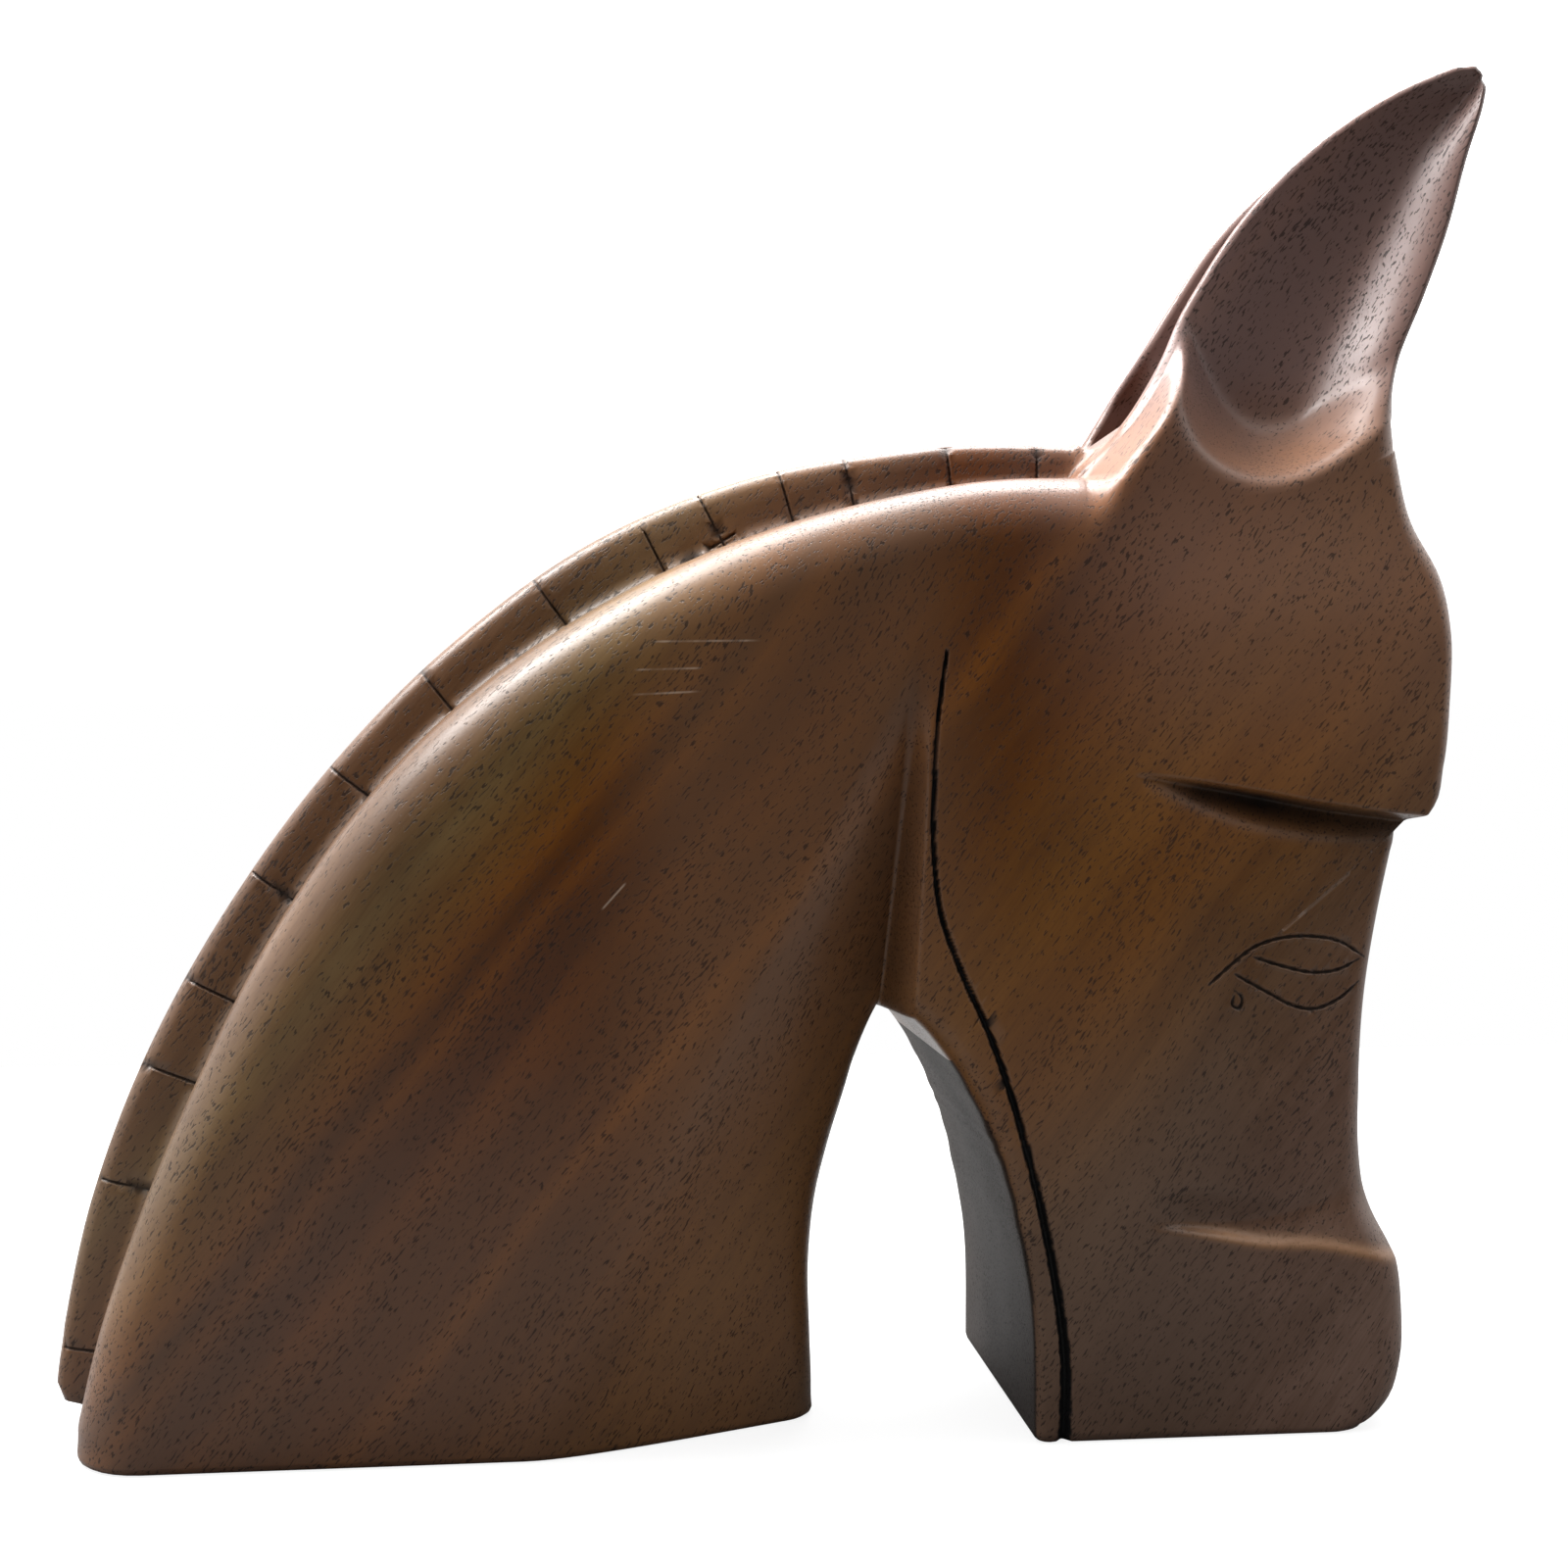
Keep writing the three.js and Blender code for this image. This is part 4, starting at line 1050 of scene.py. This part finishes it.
# The floor, the light and the camera of the picture. The paper sweep is white, the light
# comes from above and behind, and the room in front of the head is dark.
PAPER_REACH = 0.42
PAPER_GREY = 0.18
PAPER_GLOW = 0.84
floor_mesh = bpy.data.meshes.new("floor")
corners = [(-PAPER_REACH, -PAPER_REACH, 0), (PAPER_REACH, -PAPER_REACH, 0), (PAPER_REACH, PAPER_REACH, 0)]
floor_mesh.from_pydata(corners + [(-PAPER_REACH, PAPER_REACH, 0)], [], [(0, 1, 2, 3)])
floor = bpy.data.objects.new("floor", floor_mesh)
bpy.context.scene.collection.objects.link(floor)
paper = bpy.data.materials.new("floor_paper")
paper.use_nodes = True
nodes = paper.node_tree.nodes
links = paper.node_tree.links
sheet = nodes["Principled BSDF"]
sheet.inputs["Base Color"].default_value = (PAPER_GREY, PAPER_GREY, PAPER_GREY, 1)
sheet.inputs["Roughness"].default_value = 0.9
sheet.inputs["Emission Color"].default_value = (1, 1, 1, 1)
seen = put("ShaderNodeLightPath").outputs["Is Camera Ray"]
feed(sum_of("MULTIPLY", seen, PAPER_GLOW), sheet.inputs["Emission Strength"])
floor_mesh.materials.append(paper)

world = bpy.data.worlds.new("studio")
bpy.context.scene.world = world
world.use_nodes = True
nodes = world.node_tree.nodes
links = world.node_tree.links
background = nodes["Background"]
heading = put("ShaderNodeTexCoord").outputs["Generated"]
# The walls are bright at the sides and behind, and the room in front is dark
WALL_LIGHT = 2.0
CEILING_LIGHT = 0.6
toward_front = along_way(heading, (0.05, -0.98, -0.05))
upward = along_way(heading, (0.0, 0.0, 1.0))
walls = between(toward_front, 0.0, 0.65, WALL_LIGHT, 0.0)
walls = sum_of("MULTIPLY", walls, between(upward, -0.1, 0.3, 0.3, 1.0))
room = sum_of("ADD", walls, between(upward, 0.1, 0.9, 0.0, CEILING_LIGHT))
seen = put("ShaderNodeLightPath").outputs["Is Camera Ray"]
feed(sum_of("MAXIMUM", room, seen), background.inputs["Strength"])
background.inputs["Color"].default_value = (1, 1, 1, 1)


def soft_light(name, place, aim, size, power):
    data = bpy.data.lights.new(name, "AREA")
    data.shape = "RECTANGLE"
    data.size, data.size_y = size
    data.energy = power
    lamp = bpy.data.objects.new(name, data)
    lamp.location = place
    lamp.rotation_euler = (Vector(aim) - Vector(place)).to_track_quat("-Z", "Y").to_euler()
    bpy.context.scene.collection.objects.link(lamp)


soft_light("from_the_left", (-0.5, 0.12, 0.75), (0, 0, 0.1), (0.35, 0.4), 9)
soft_light("overhead", (-0.1, 0.22, 0.75), (0.0, 0, 0.15), (0.8, 0.36), 13)

CAMERA_YAW = -5.87
camera_data = bpy.data.cameras.new("camera")
camera_data.lens = 42.75
camera_data.sensor_width = 36
camera = bpy.data.objects.new("camera", camera_data)
camera.location = (-0.0339, -0.3405, 0.112)
camera.rotation_euler = (math.radians(90), 0, math.radians(CAMERA_YAW))
bpy.context.scene.collection.objects.link(camera)
bpy.context.scene.camera = camera
bpy.context.scene.view_settings.view_transform = "Standard"
